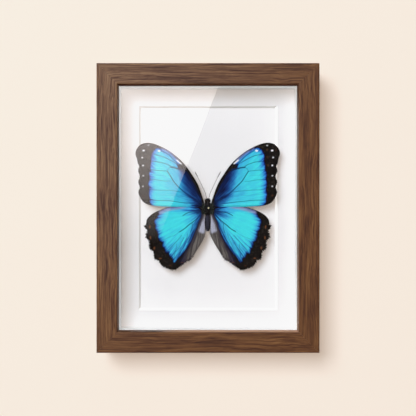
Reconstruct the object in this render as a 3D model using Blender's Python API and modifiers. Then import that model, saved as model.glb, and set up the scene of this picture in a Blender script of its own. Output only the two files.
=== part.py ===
"""A butterfly specimen pinned in a small glazed box frame.

The frame stands on its bottom edge with its back to +Y, and its front faces -Y. X runs across it,
and Z = 0 is the underside of the bottom rail, with the origin at the middle of its footprint.
The four rails are mitred. Behind their lip come, from the front: the glass, four spacer strips, a
window mat, the mount board that the pin stands in, and the back panel, which eight steel points
hold in. The butterfly floats between glass and board on one pin through its thorax.
"""

import math

import bmesh
import bpy
import numpy as np

MM = 0.001

# Frame, from which every panel takes its size.
FRAME_WIDTH = 172.0 * MM
FRAME_HEIGHT = 223.5 * MM
FRAME_DEPTH = 35.0 * MM
FACE_WIDTH = 16.2 * MM
LIP_THICKNESS = 6.5 * MM
LIP_SLOPE = 0.6 * MM  # the lip reaches this much further in at its back than at its front
REBATE_WIDTH = 5.5 * MM
OUTER_ROUND = 1.2 * MM
INNER_ROUND = 0.7 * MM
BACK_ROUND = 0.6 * MM
FIT = 0.3 * MM  # clearance between pieces that touch
MITRE_GAP = 0.06 * MM
CUT_REACH = 1.0 * MM  # how far a cutter runs past what it cuts

# Thickness of each layer behind the lip, front to back.
LAYERS = {
    "glass": 2.0 * MM,
    "spacer": 13.0 * MM,
    "mat": 1.5 * MM,
    "board": 3.5 * MM,
    "panel": 2.5 * MM,
    "points": 0.5 * MM,
}
SPACER_WIDTH = 5.6 * MM
WINDOW_WIDTH = 110.4 * MM
WINDOW_HEIGHT = 162.6 * MM

# Framer's points.
POINT_LENGTH = 13.0 * MM
POINT_WIDTH = 6.0 * MM
POINT_IN_WOOD = 5.0 * MM
POINT_TAPER = 3.0 * MM
POINT_CHAMFER = 1.0 * MM
SIDE_POINT_HEIGHT = 58.0 * MM  # from the frame's middle
END_POINT_OFFSET = 48.0 * MM

# Sawtooth hanger and its rivets.
HANGER_LENGTH = 44.0 * MM
HANGER_HEIGHT = 9.0 * MM
HANGER_THICKNESS = 0.6 * MM
HANGER_RISE = 1.5 * MM
HANGER_EAR = 8.0 * MM
HANGER_BELOW_TOP = 32.0 * MM
TOOTH_PITCH = 2.5 * MM
TOOTH_DEPTH = 1.3 * MM
TOOTH_BLUNT = 0.15 * MM
TOOTH_COUNT = 9
RIVET_SHANK = 1.1 * MM
RIVET_HEAD = 2.3 * MM
RIVET_HEAD_HEIGHT = 0.7 * MM

# Butterfly.
BUTTERFLY_X = -0.2 * MM
BUTTERFLY_Z = FRAME_HEIGHT / 2 - 1.3 * MM
BODY_DEPTH = 15.0 * MM  # of the body's axis, behind the frame's front
FOREWING_DEPTH = 13.2 * MM
HINDWING_DEPTH = 14.2 * MM
WING_THICKNESS = 0.3 * MM
HEAD_RADIUS = 2.3 * MM
THORAX_RADIUS = 3.6 * MM
ABDOMEN_RADIUS = 2.05 * MM
NECK_RADIUS = 1.3 * MM
HEAD_TOP = 9.1 * MM  # heights along the body, from the butterfly's own origin
HEAD_HALF_LENGTH = 2.1 * MM
THORAX_MIDDLE = 0.8 * MM
THORAX_HALF_LENGTH = 5.3 * MM
ABDOMEN_MIDDLE = -9.0 * MM
ABDOMEN_END = -17.2 * MM
BODY_RINGS = 34
BODY_SIDES = 20
PIN_RADIUS = 0.25 * MM
PIN_HEAD_RADIUS = 0.7 * MM
PIN_TAPER = 2.0 * MM
PIN_X = 0.6 * MM  # from the butterfly's own origin
PIN_Z = 1.2 * MM
ANTENNA_RADIUS = 0.2 * MM
ANTENNA_CLUB = 2.2  # the club's thickness over the stem's

FRONT = -FRAME_DEPTH / 2
BACK = FRAME_DEPTH / 2
REBATE_X = FRAME_WIDTH / 2 - FACE_WIDTH + REBATE_WIDTH
REBATE_Z = FRAME_HEIGHT / 2 - FACE_WIDTH + REBATE_WIDTH
PANEL_WIDTH = 2 * (REBATE_X - FIT)
PANEL_HEIGHT = 2 * (REBATE_Z - FIT)
MIDDLE_Z = FRAME_HEIGHT / 2

# Outlines of the right wings in millimetres from the butterfly's origin, x outwards and z up.
FOREWING_OUTLINE = [
    (3.0, 5.8), (4.2, 10.0), (8.0, 20.0), (14.1, 30.0), (20.3, 38.0), (30.0, 46.2), (40.0, 51.2),
    (47.0, 52.6), (52.4, 51.4), (55.8, 47.8), (56.8, 43.9), (55.6, 40.0), (55.2, 36.6), (53.9, 34.0),
    (54.5, 30.4), (53.2, 25.9), (54.4, 21.7), (53.5, 17.5), (54.2, 13.7), (53.0, 9.3), (49.6, 5.3),
    (43.5, 3.2), (32.0, 2.4), (18.0, 2.2), (7.5, 2.1), (3.7, 1.2),
]
HINDWING_OUTLINE = [
    (3.9, 0.2), (8.5, 2.6), (18.0, 3.6), (28.0, 2.7), (37.0, -0.1), (43.4, -3.2), (47.7, -7.3),
    (48.5, -11.2), (49.9, -13.5), (47.7, -16.0), (48.9, -21.3), (46.3, -24.9), (45.9, -30.5),
    (42.7, -33.4), (42.0, -38.6), (39.0, -40.0), (36.1, -44.2), (33.3, -45.7), (27.0, -47.5),
    (22.5, -45.2), (15.6, -40.2), (13.7, -39.7), (9.6, -33.6), (4.5, -25.3), (1.9, -19.0),
    (2.4, -13.0), (2.4, -7.0), (3.3, -3.2),
]
# Middle line of the right antenna, x outwards, z up, and how far it stands out from the head.
ANTENNA_LINE = [
    (0.9, 9.7, 0.0), (2.0, 13.2, 0.6), (3.7, 16.9, 1.1), (5.5, 20.7, 1.5), (7.3, 24.4, 1.8),
    (8.7, 27.2, 2.0), (9.5, 28.7, 2.1), (10.2, 30.0, 2.2),
]


def layer_places():
    """Front and back face of each layer, with a clearance before each one."""
    places = {}
    face = FRONT + LIP_THICKNESS
    for name, thickness in LAYERS.items():
        face += FIT
        places[name] = (face, face + thickness)
        face += thickness
    return places


PLACES = layer_places()


# ---------------------------------------------------------------- helpers


def clear_scene():
    for obj in list(bpy.data.objects):
        bpy.data.objects.remove(obj, do_unlink=True)


def new_collection(name):
    collection = bpy.data.collections.new(name)
    bpy.context.scene.collection.children.link(collection)
    return collection


def new_material(name, color, roughness, metallic=0.0, transmission=0.0):
    material = bpy.data.materials.new(name)
    material.use_nodes = True
    shader = material.node_tree.nodes["Principled BSDF"]
    shader.inputs["Base Color"].default_value = (*color, 1.0)
    shader.inputs["Roughness"].default_value = roughness
    shader.inputs["Metallic"].default_value = metallic
    shader.inputs["Transmission Weight"].default_value = transmission
    material.diffuse_color = (*color, 1.0)
    return material


def add_object(name, mesh, material, collection):
    obj = bpy.data.objects.new(name, mesh)
    collection.objects.link(obj)
    if material:
        mesh.materials.append(material)
    return obj


def box(name, low, high, material, collection, back_inset=0.0):
    """A cube primitive stretched from low to high. Its back face can be smaller, by back_inset a side."""
    bm = bmesh.new()
    bmesh.ops.create_cube(bm, size=1.0)
    for vertex in bm.verts:
        behind = vertex.co.y > 0
        for axis in range(3):
            end = low[axis] if vertex.co[axis] < 0 else high[axis]
            inwards = 1 if vertex.co[axis] < 0 else -1
            vertex.co[axis] = end + (back_inset * inwards if behind and axis != 1 else 0.0)
    mesh = bpy.data.meshes.new(name)
    bm.to_mesh(mesh)
    bm.free()
    return add_object(name, mesh, material, collection)


def sheet(name, layer, material, collection):
    """A plain panel that fills the rebate, in the place of its layer."""
    front, back = PLACES[layer]
    low = (-PANEL_WIDTH / 2, front, MIDDLE_Z - PANEL_HEIGHT / 2)
    high = (PANEL_WIDTH / 2, back, MIDDLE_Z + PANEL_HEIGHT / 2)
    return box(name, low, high, material, collection)


def mesh_from_curve(name, curve):
    """The curve's evaluated surface as one welded, outward-facing mesh."""
    holder = bpy.data.objects.new(name + "_guide", curve)
    bpy.context.scene.collection.objects.link(holder)
    bpy.context.view_layer.update()
    graph = bpy.context.evaluated_depsgraph_get()
    mesh = bpy.data.meshes.new_from_object(holder.evaluated_get(graph))
    mesh.name = name
    bpy.data.objects.remove(holder, do_unlink=True)
    bm = bmesh.new()
    bm.from_mesh(mesh)
    bmesh.ops.remove_doubles(bm, verts=bm.verts, dist=1e-6)
    bmesh.ops.recalc_face_normals(bm, faces=bm.faces)
    bm.to_mesh(mesh)
    bm.free()
    mesh.materials.clear()
    return mesh


def flat_curve(name, points, thickness):
    """A closed outline in the local XY plane, filled, and thickened by thickness about it."""
    curve = bpy.data.curves.new(name, "CURVE")
    curve.dimensions = "2D"
    curve.fill_mode = "BOTH"
    curve.extrude = thickness / 2
    spline = curve.splines.new("POLY")
    spline.points.add(len(points) - 1)
    for point, (x, y) in zip(spline.points, points):
        point.co = (x, y, 0.0, 1.0)
    spline.use_cyclic_u = True
    return curve


def arc(center, radius, start, end, steps):
    """Points along an arc, with its angles in degrees."""
    angles = np.radians(np.linspace(start, end, steps + 1))
    return [(center[0] + radius * math.cos(a), center[1] + radius * math.sin(a)) for a in angles]


def cylinder(name, radius, low_y, high_y, x, z, collection, sides=24):
    """A cylinder that runs along Y."""
    bpy.ops.mesh.primitive_cylinder_add(
        vertices=sides,
        radius=radius,
        depth=high_y - low_y,
        location=(x, (low_y + high_y) / 2, z),
        rotation=(math.pi / 2, 0, 0),
    )
    obj = bpy.context.object
    obj.name = name
    for owner in list(obj.users_collection):
        owner.objects.unlink(obj)
    collection.objects.link(obj)
    return obj


def as_cutter(obj):
    obj.hide_render = True
    obj.display_type = "WIRE"
    return obj


def cut(obj, cutter):
    modifier = obj.modifiers.new("cut_" + cutter.name, "BOOLEAN")
    modifier.operation = "DIFFERENCE"
    modifier.object = cutter


def turned(name, profile, steps, material, collection):
    """A profile of (radius, height) points, running down its outer side, turned about local Z."""
    mesh = bpy.data.meshes.new(name)
    points = [(radius, 0.0, height) for radius, height in profile]
    mesh.from_pydata(points, [(i, i + 1) for i in range(len(points) - 1)], [])
    obj = add_object(name, mesh, material, collection)
    screw = obj.modifiers.new("turn", "SCREW")
    screw.axis = "Z"
    screw.steps = steps
    screw.render_steps = steps
    screw.use_merge_vertices = True
    screw.merge_threshold = 1e-5
    screw.use_smooth_shade = True
    return obj


# ---------------------------------------------------------------- frame and panels


def rail_section():
    """The moulding's section: x is the distance in from the outer side, y runs front to back."""
    lip_edge = FACE_WIDTH + LIP_SLOPE
    rebate_edge = FACE_WIDTH - REBATE_WIDTH
    section = arc((OUTER_ROUND, FRONT + OUTER_ROUND), OUTER_ROUND, 180, 270, 4)
    section += arc((FACE_WIDTH - INNER_ROUND, FRONT + INNER_ROUND), INNER_ROUND, 270, 360, 3)
    section += [(lip_edge, FRONT + LIP_THICKNESS), (rebate_edge, FRONT + LIP_THICKNESS)]
    section += [(rebate_edge, BACK)]
    section += arc((BACK_ROUND, BACK - BACK_ROUND), BACK_ROUND, 90, 180, 2)
    return section


def rail(name, length, location, turn, material, collection):
    """One mitred rail. Its end points slide back by their distance from the outer side."""
    mesh = mesh_from_curve(name, flat_curve(name, rail_section(), length))
    for vertex in mesh.vertices:
        end = math.copysign(length / 2 - vertex.co.x - MITRE_GAP, vertex.co.z)
        vertex.co.z = end
    obj = add_object(name, mesh, material, collection)
    obj.location = location
    obj.rotation_euler = (0, math.radians(turn), 0)
    mesh.shade_smooth()
    mesh.set_sharp_from_angle(angle=math.radians(35))
    return obj


def make_frame(material, collection):
    half = FRAME_WIDTH / 2
    return {
        "bottom": rail("frame_bottom", FRAME_WIDTH, (0, 0, 0), -90, material, collection),
        "top": rail("frame_top", FRAME_WIDTH, (0, 0, FRAME_HEIGHT), 90, material, collection),
        "left": rail("frame_left", FRAME_HEIGHT, (-half, 0, MIDDLE_Z), 0, material, collection),
        "right": rail("frame_right", FRAME_HEIGHT, (half, 0, MIDDLE_Z), 180, material, collection),
    }


def make_spacers(material, collection):
    """Two strips up the full height, and two that fit between them."""
    front, back = PLACES["spacer"]
    half_w, half_h = PANEL_WIDTH / 2, PANEL_HEIGHT / 2
    inner_x = half_w - SPACER_WIDTH
    for side, sign in (("left", -1), ("right", 1)):
        low_x, high_x = sorted((sign * inner_x, sign * half_w))
        low = (low_x, front, MIDDLE_Z - half_h)
        high = (high_x, back, MIDDLE_Z + half_h)
        box("spacer_" + side, low, high, material, collection)
    for side, sign in (("bottom", -1), ("top", 1)):
        low_z, high_z = sorted((sign * (half_h - SPACER_WIDTH), sign * half_h))
        low = (-inner_x + FIT, front, MIDDLE_Z + low_z)
        high = (inner_x - FIT, back, MIDDLE_Z + high_z)
        box("spacer_" + side, low, high, material, collection)


def make_mat(material, collection, cutters):
    """The window's edges are cut at 45 degrees, so that the opening narrows towards the back."""
    mat = sheet("window_mat", "mat", material, collection)
    front, back = PLACES["mat"]
    half_w, half_h = WINDOW_WIDTH / 2 + CUT_REACH, WINDOW_HEIGHT / 2 + CUT_REACH
    low = (-half_w, front - CUT_REACH, MIDDLE_Z - half_h)
    high = (half_w, back + CUT_REACH, MIDDLE_Z + half_h)
    inset = back - front + 2 * CUT_REACH
    cut(mat, as_cutter(box("window_cutter", low, high, None, cutters, back_inset=inset)))


# ---------------------------------------------------------------- steel hardware


def framers_point(name, location, turn, rail_object, material, collection, cutters):
    """A steel blade, driven tip first into the rail's rebate wall. Local +X points into the wood."""
    half = POINT_WIDTH / 2
    tip = POINT_IN_WOOD
    tail = tip - POINT_LENGTH
    shoulder, corner = tip - POINT_TAPER, tail + POINT_CHAMFER
    outline = [(tail, POINT_CHAMFER - half), (corner, -half), (shoulder, -half), (tip, 0.0)]
    outline += [(shoulder, half), (corner, half), (tail, half - POINT_CHAMFER)]
    front, back = PLACES["points"]
    middle = (front + back) / 2
    place = (location[0], middle, location[1])
    mesh = mesh_from_curve(name, flat_curve(name, outline, back - front))
    blade = add_object(name, mesh, material, collection)
    blade.location = place
    blade.rotation_euler = (math.pi / 2, math.radians(turn), 0)
    slot_low = (-CUT_REACH, -half - FIT, front - middle - FIT)
    slot_high = (tip + FIT, half + FIT, back - middle + FIT)
    slot = as_cutter(box(name + "_slot", slot_low, slot_high, None, cutters))
    slot.location = place
    slot.rotation_euler = blade.rotation_euler
    cut(rail_object, slot)


def make_points(rails, material, collection, cutters):
    for side, sign, turn in (("left", -1, 180), ("right", 1, 0)):
        for level, up in (("lower", -1), ("upper", 1)):
            place = (sign * REBATE_X, MIDDLE_Z + up * SIDE_POINT_HEIGHT)
            name = f"point_{side}_{level}"
            framers_point(name, place, turn, rails[side], material, collection, cutters)
    for side, sign, turn in (("bottom", -1, 90), ("top", 1, -90)):
        for hand, across in (("left", -1), ("right", 1)):
            place = (across * END_POINT_OFFSET, MIDDLE_Z + sign * REBATE_Z)
            name = f"point_{side}_{hand}"
            framers_point(name, place, turn, rails[side], material, collection, cutters)


def make_hanger(panel, steel, collection, cutters):
    """A hat-shaped strip with saw teeth along the lower edge of its raised part, on two rivets."""
    panel_back = PLACES["panel"][1] + FIT
    top_z = FRAME_HEIGHT - HANGER_BELOW_TOP
    half = HANGER_LENGTH / 2
    crown = half - HANGER_EAR
    shoulder = crown - HANGER_RISE
    high = HANGER_RISE + HANGER_THICKNESS
    outer = [(-half, HANGER_THICKNESS), (-crown, HANGER_THICKNESS), (-shoulder, high)]
    outer += [(shoulder, high), (crown, HANGER_THICKNESS), (half, HANGER_THICKNESS)]
    slant = HANGER_THICKNESS * math.tan(math.pi / 8)
    inner = [(half, 0.0), (crown - slant, 0.0), (shoulder - slant, HANGER_RISE)]
    inner += [(-shoulder + slant, HANGER_RISE), (-crown + slant, 0.0), (-half, 0.0)]
    mesh = mesh_from_curve("hanger", flat_curve("hanger", outer + inner, HANGER_HEIGHT))
    hanger = add_object("sawtooth_hanger", mesh, steel, collection)
    hanger.location = (0, panel_back, top_z - HANGER_HEIGHT / 2)

    low_z = top_z - HANGER_HEIGHT
    reach = TOOTH_COUNT / 2 * TOOTH_PITCH
    tip_z = low_z - TOOTH_BLUNT
    teeth = []
    for i in range(TOOTH_COUNT):
        start = i * TOOTH_PITCH - reach
        teeth += [(start, tip_z), (start + TOOTH_PITCH / 2, low_z + TOOTH_DEPTH)]
    teeth += [(reach, tip_z), (reach, tip_z - CUT_REACH), (-reach, tip_z - CUT_REACH)]
    mesh = mesh_from_curve("teeth", flat_curve("teeth", teeth, 2 * (high + CUT_REACH)))
    saw = as_cutter(add_object("teeth_cutter", mesh, None, cutters))
    saw.location = (0, panel_back, 0)
    saw.rotation_euler = (math.pi / 2, 0, 0)
    cut(hanger, saw)

    for side, sign in (("left", -1), ("right", 1)):
        x = sign * (half - HANGER_EAR / 2)
        z = top_z - HANGER_HEIGHT / 2
        radius = RIVET_SHANK + FIT
        start, end = PLACES["panel"][0] - CUT_REACH, panel_back + high
        hole = as_cutter(cylinder("rivet_hole_" + side, radius, start, end, x, z, cutters, 20))
        cut(panel, hole)
        cut(hanger, hole)
        shank_end = PLACES["panel"][0] + FIT
        seat = panel_back + HANGER_THICKNESS + FIT
        profile = [(0.0, RIVET_HEAD_HEIGHT)]
        dome = np.radians(np.linspace(75, 0, 5))
        profile += [(RIVET_HEAD * math.cos(a), RIVET_HEAD_HEIGHT * math.sin(a)) for a in dome]
        profile += [(RIVET_SHANK, 0.0), (RIVET_SHANK, shank_end - seat), (0.0, shank_end - seat)]
        rivet = turned("hanger_rivet_" + side, profile, 20, steel, collection)
        rivet.location = (x, seat, z)
        rivet.rotation_euler = (-math.pi / 2, 0, 0)


# ---------------------------------------------------------------- butterfly


def body_profile():
    """Three ellipses along the axis, head, thorax and abdomen, joined at the narrow neck."""
    lobes = (
        (HEAD_TOP - HEAD_HALF_LENGTH, HEAD_HALF_LENGTH, HEAD_RADIUS),
        (THORAX_MIDDLE, THORAX_HALF_LENGTH, THORAX_RADIUS),
        (ABDOMEN_MIDDLE, ABDOMEN_MIDDLE - ABDOMEN_END, ABDOMEN_RADIUS),
    )
    angle = np.linspace(0, math.pi, BODY_RINGS)
    middle = (HEAD_TOP + ABDOMEN_END) / 2
    heights = middle + (HEAD_TOP - ABDOMEN_END) / 2 * np.cos(angle)
    neck = (heights < HEAD_TOP - HEAD_HALF_LENGTH) & (heights > ABDOMEN_MIDDLE)
    radii = np.where(neck, NECK_RADIUS, 0.0)
    for center, half_length, radius in lobes:
        inside = np.clip(1 - ((heights - center) / half_length) ** 2, 0, None)
        radii = np.maximum(radii, radius * np.sqrt(inside))
    radii[[0, -1]] = 0.0
    return list(zip(radii.tolist(), heights.tolist()))


def make_body(material, collection, cutters):
    body = turned("butterfly_body", body_profile(), BODY_SIDES, material, collection)
    body.location = (BUTTERFLY_X, FRONT + BODY_DEPTH, BUTTERFLY_Z)
    x, z = BUTTERFLY_X + PIN_X, BUTTERFLY_Z + PIN_Z
    reach = THORAX_RADIUS + CUT_REACH
    axis = FRONT + BODY_DEPTH
    hole = cylinder("thorax_hole", PIN_RADIUS + FIT, axis - reach, axis + reach, x, z, cutters, 16)
    cut(body, as_cutter(hole))


def make_pin(board, material, collection, cutters):
    """A clipped insect pin: its round head stands over the thorax, and its point is in the board."""
    head_y = FRONT + BODY_DEPTH - THORAX_RADIUS - 2 * PIN_HEAD_RADIUS
    tip_y = PLACES["board"][1] - FIT
    length = tip_y - head_y
    ball = np.radians(np.linspace(90, -60, 8))
    profile = [(PIN_HEAD_RADIUS * math.cos(a), PIN_HEAD_RADIUS * math.sin(a)) for a in ball]
    profile[0] = (0.0, PIN_HEAD_RADIUS)
    profile += [(PIN_RADIUS, -PIN_HEAD_RADIUS), (PIN_RADIUS, PIN_TAPER - length), (0.0, -length)]
    pin = turned("insect_pin", profile, 16, material, collection)
    pin.location = (BUTTERFLY_X + PIN_X, head_y, BUTTERFLY_Z + PIN_Z)
    pin.rotation_euler = (math.pi / 2, 0, 0)
    start, end = PLACES["board"][0] - CUT_REACH, PLACES["board"][1] + CUT_REACH
    radius = PIN_RADIUS + FIT
    x, z = pin.location.x, pin.location.z
    cut(board, as_cutter(cylinder("board_hole", radius, start, end, x, z, cutters, 16)))


def wing(name, outline, side, depth, material, collection):
    """A flat blade whose edge runs smoothly through the outline's points."""
    curve = bpy.data.curves.new(name, "CURVE")
    curve.dimensions = "2D"
    curve.fill_mode = "BOTH"
    curve.extrude = WING_THICKNESS / 2
    curve.resolution_u = 4
    spline = curve.splines.new("BEZIER")
    spline.bezier_points.add(len(outline) - 1)
    for point, (x, z) in zip(spline.bezier_points, outline):
        point.co = (side * x * MM, z * MM, 0.0)
        point.handle_left_type = "AUTO"
        point.handle_right_type = "AUTO"
    spline.use_cyclic_u = True
    obj = add_object(name, mesh_from_curve(name, curve), material, collection)
    obj.location = (BUTTERFLY_X, FRONT + depth, BUTTERFLY_Z)
    obj.rotation_euler = (math.pi / 2, 0, 0)
    return obj


def antenna(name, side, material, collection):
    """A thin stem that curves away from the head and ends in a club."""
    curve = bpy.data.curves.new(name, "CURVE")
    curve.dimensions = "3D"
    curve.bevel_depth = ANTENNA_RADIUS
    curve.bevel_resolution = 2
    curve.use_fill_caps = True
    spline = curve.splines.new("POLY")
    spline.points.add(len(ANTENNA_LINE) - 1)
    club_from = len(ANTENNA_LINE) - 3
    for i, (point, (x, z, out)) in enumerate(zip(spline.points, ANTENNA_LINE)):
        point.co = (side * x * MM, -out * MM, z * MM, 1.0)
        point.radius = ANTENNA_CLUB if i > club_from else 1.0
    spline.points[-1].radius = 1.0
    obj = add_object(name, mesh_from_curve(name, curve), material, collection)
    obj.location = (BUTTERFLY_X, FRONT + FOREWING_DEPTH, BUTTERFLY_Z)
    obj.data.shade_smooth()


def make_butterfly(materials, collection, cutters):
    make_body(materials["body"], collection, cutters)
    for side, sign in (("left", -1), ("right", 1)):
        fore, hind = "forewing_" + side, "hindwing_" + side
        wing(fore, FOREWING_OUTLINE, sign, FOREWING_DEPTH, materials["wing"], collection)
        wing(hind, HINDWING_OUTLINE, sign, HINDWING_DEPTH, materials["wing"], collection)
        antenna("antenna_" + side, sign, materials["body"], collection)


# ---------------------------------------------------------------- the whole


def main():
    clear_scene()
    parts = new_collection("framed_butterfly")
    cutters = new_collection("cutters")
    materials = {
        "wood": new_material("walnut", (0.16, 0.085, 0.045), 0.5),
        "glass": new_material("picture_glass", (0.95, 0.97, 0.96), 0.02, transmission=1.0),
        "white_card": new_material("white_card", (0.82, 0.82, 0.81), 0.85),
        "board": new_material("backing_paper", (0.86, 0.85, 0.85), 0.9),
        "panel": new_material("fibreboard", (0.32, 0.21, 0.12), 0.8),
        "steel": new_material("zinc_plated_steel", (0.55, 0.55, 0.54), 0.35, metallic=1.0),
        "pin": new_material("pin_steel", (0.72, 0.62, 0.4), 0.3, metallic=1.0),
        "body": new_material("insect_body", (0.02, 0.017, 0.014), 0.7),
        "wing": new_material("blue_wing", (0.05, 0.5, 0.72), 0.4),
    }
    rails = make_frame(materials["wood"], parts)
    sheet("glass_pane", "glass", materials["glass"], parts)
    make_spacers(materials["white_card"], parts)
    make_mat(materials["white_card"], parts, cutters)
    board = sheet("mount_board", "board", materials["board"], parts)
    panel = sheet("back_panel", "panel", materials["panel"], parts)
    make_points(rails, materials["steel"], parts, cutters)
    make_hanger(panel, materials["steel"], parts, cutters)
    make_pin(board, materials["pin"], parts, cutters)
    make_butterfly(materials, parts, cutters)


main()
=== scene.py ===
# %% [markdown]
# # A blue butterfly in a box frame
# The real object is a walnut box frame with a pinned butterfly floating between the glass and the
# mount board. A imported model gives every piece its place. This script gives them their looks: it
# keeps the flat pieces that are already right, and makes the rails, the mat, the wings, the body
# and the steel again as fine surfaces. Lengths are in metres, and MM turns millimetres into them.

import math

import bmesh
import bpy
import numpy as np
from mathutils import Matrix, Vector


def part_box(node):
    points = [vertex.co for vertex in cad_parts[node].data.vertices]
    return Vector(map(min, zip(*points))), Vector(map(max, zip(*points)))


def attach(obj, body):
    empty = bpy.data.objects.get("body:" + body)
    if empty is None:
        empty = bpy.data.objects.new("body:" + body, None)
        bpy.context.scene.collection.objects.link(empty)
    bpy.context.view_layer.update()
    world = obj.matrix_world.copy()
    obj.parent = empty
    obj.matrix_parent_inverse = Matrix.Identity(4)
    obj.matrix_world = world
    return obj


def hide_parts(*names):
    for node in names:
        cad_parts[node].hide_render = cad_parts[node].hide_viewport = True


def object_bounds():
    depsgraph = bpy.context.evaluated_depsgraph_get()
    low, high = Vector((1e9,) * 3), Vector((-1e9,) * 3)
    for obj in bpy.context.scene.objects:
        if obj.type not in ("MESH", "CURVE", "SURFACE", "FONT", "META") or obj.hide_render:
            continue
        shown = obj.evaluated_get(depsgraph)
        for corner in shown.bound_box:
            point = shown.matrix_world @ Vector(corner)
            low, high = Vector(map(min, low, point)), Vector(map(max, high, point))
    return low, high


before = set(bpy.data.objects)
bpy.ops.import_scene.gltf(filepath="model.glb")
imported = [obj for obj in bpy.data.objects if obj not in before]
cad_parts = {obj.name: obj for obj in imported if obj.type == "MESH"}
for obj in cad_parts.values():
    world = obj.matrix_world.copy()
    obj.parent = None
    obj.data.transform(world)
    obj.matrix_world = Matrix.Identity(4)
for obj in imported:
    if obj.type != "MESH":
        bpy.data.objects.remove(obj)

MM = 0.001
cad_box = [list(corner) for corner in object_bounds()]
LOW, HIGH = (np.array(corner) for corner in cad_box)
WIDTH, DEPTH, HEIGHT = HIGH - LOW
FRONT = LOW[1]
MIDDLE_Z = (LOW[2] + HIGH[2]) / 2
print(f"frame: {WIDTH / MM:.1f} x {DEPTH / MM:.1f} x {HEIGHT / MM:.1f} mm")

# %% [markdown]
# ## The camera
# A product picture of a frame is taken square on, from the height of its middle. The lens follows
# from two lengths: how far away the camera stands, and how much of the wall it takes in there.

# %% Camera
CAMERA_DISTANCE = 600 * MM
VIEW_WIDTH = 320.3 * MM
SENSOR_MM = 36.0

camera_data = bpy.data.cameras.new("camera")
camera_data.sensor_width = SENSOR_MM
camera_data.lens = SENSOR_MM * CAMERA_DISTANCE / VIEW_WIDTH
camera_data.clip_start = 0.01
camera = bpy.data.objects.new("camera", camera_data)
camera.location = (0, FRONT - CAMERA_DISTANCE, MIDDLE_Z)
camera.rotation_euler = (math.pi / 2, 0, 0)
bpy.context.scene.collection.objects.link(camera)
bpy.context.scene.camera = camera
print(f"camera: {camera_data.lens:.1f} mm lens, {CAMERA_DISTANCE:.2f} m in front")

# %% [markdown]
# ## Small tools for node trees
# A material is a tree of nodes. Written out one line per link it hides its own idea, so these
# helpers add a node and feed its inputs in one call. Each returns a socket that the next can use.


# %% Node helpers
def srgb(red, green, blue):
    """A screen colour of levels 0 to 255, as the linear light that a shader wants."""
    level = np.array([red, green, blue]) / 255
    light = np.where(level > 0.04045, ((level + 0.055) / 1.055) ** 2.4, level / 12.92)
    return (*light.tolist(), 1.0)


def feed(tree, node, feeds):
    """Fills a node's inputs: a feed that is a socket is linked, and any other value is set."""
    for key, value in feeds.items():
        if isinstance(value, bpy.types.NodeSocket):
            tree.links.new(value, node.inputs[key])
        else:
            node.inputs[key].default_value = value


def add(tree, kind, feeds=None, **settings):
    """A new node with its settings made and its inputs filled."""
    made = tree.nodes.new(kind)
    for key, value in settings.items():
        setattr(made, key, value)
    feed(tree, made, feeds or {})
    return made


def calc(tree, how, first, second=0.0, clamp=False):
    feeds = {0: first, 1: second}
    return add(tree, "ShaderNodeMath", feeds, operation=how, use_clamp=clamp).outputs[0]


def plus(tree, first, second):
    return calc(tree, "ADD", first, second)


def times(tree, first, second):
    return calc(tree, "MULTIPLY", first, second)


def swing(tree, value, reach, middle=0.5):
    """(value - middle) reach: a noise that wavers about its middle, made to waver about 0."""
    return times(tree, calc(tree, "SUBTRACT", value, middle), reach)


def mixed(tree, amount, first, second, how="MIX"):
    """Two colours mixed. In this node's list of inputs, the colours are the seventh and eighth."""
    feeds = {0: amount, 6: first, 7: second}
    return add(tree, "ShaderNodeMix", feeds, data_type="RGBA", blend_type=how).outputs[2]


def soft_step(tree, value, start, end, low=0.0, high=1.0):
    """Low before start, high after end, and a smooth slope between."""
    feeds = {"Value": value, "From Min": start, "From Max": end, "To Min": low, "To Max": high}
    return add(tree, "ShaderNodeMapRange", feeds, interpolation_type="SMOOTHSTEP").outputs[0]


def noise(tree, vector, scale, detail=3.0, roughness=0.55):
    feeds = {"Vector": vector, "Scale": scale, "Detail": detail, "Roughness": roughness}
    return add(tree, "ShaderNodeTexNoise", feeds).outputs[0]


def stretched(tree, vector, scale):
    return add(tree, "ShaderNodeMapping", {"Vector": vector, "Scale": scale}).outputs[0]


def ramp(tree, value, *stops):
    """A colour ramp through (place, colour) stops, given in rising order."""
    made = add(tree, "ShaderNodeValToRGB", {0: value})
    elements = made.color_ramp.elements
    for index, (place, color) in enumerate(stops):
        element = elements[index] if index < 2 else elements.new(place)
        element.position = place
        element.color = color
    return made.outputs[0]


def attribute(tree, name, output="Fac"):
    return add(tree, "ShaderNodeAttribute", attribute_name=name).outputs[output]


def object_place(tree):
    return add(tree, "ShaderNodeTexCoord").outputs["Object"]


def bump(tree, height, strength, distance):
    feeds = {"Height": height, "Strength": strength, "Distance": distance}
    return add(tree, "ShaderNodeBump", feeds).outputs["Normal"]


def new_group(name, inputs, outputs):
    """A node group and its inner sockets. Inputs and outputs are name: kind of socket."""
    group = bpy.data.node_groups.new(name, "ShaderNodeTree")
    for way, sockets in (("INPUT", inputs), ("OUTPUT", outputs)):
        for socket_name, kind in sockets.items():
            socket_type = "NodeSocket" + kind
            group.interface.new_socket(socket_name, in_out=way, socket_type=socket_type)
    given = group.nodes.new("NodeGroupInput").outputs
    wanted = group.nodes.new("NodeGroupOutput").inputs
    return group, given, wanted


def use_group(tree, group, feeds):
    return add(tree, "ShaderNodeGroup", feeds, node_tree=group).outputs


def new_material(name, constants):
    """A material, its tree and its Principled shader, with the constants set on the shader."""
    material = bpy.data.materials.new(name)
    material.use_nodes = True
    tree = material.node_tree
    shader = tree.nodes["Principled BSDF"]
    for key, value in constants.items():
        shader.inputs[key].default_value = value
    return material, tree, shader


def new_object(name, data):
    obj = bpy.data.objects.new(name, data)
    bpy.context.scene.collection.objects.link(obj)
    return obj


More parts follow.
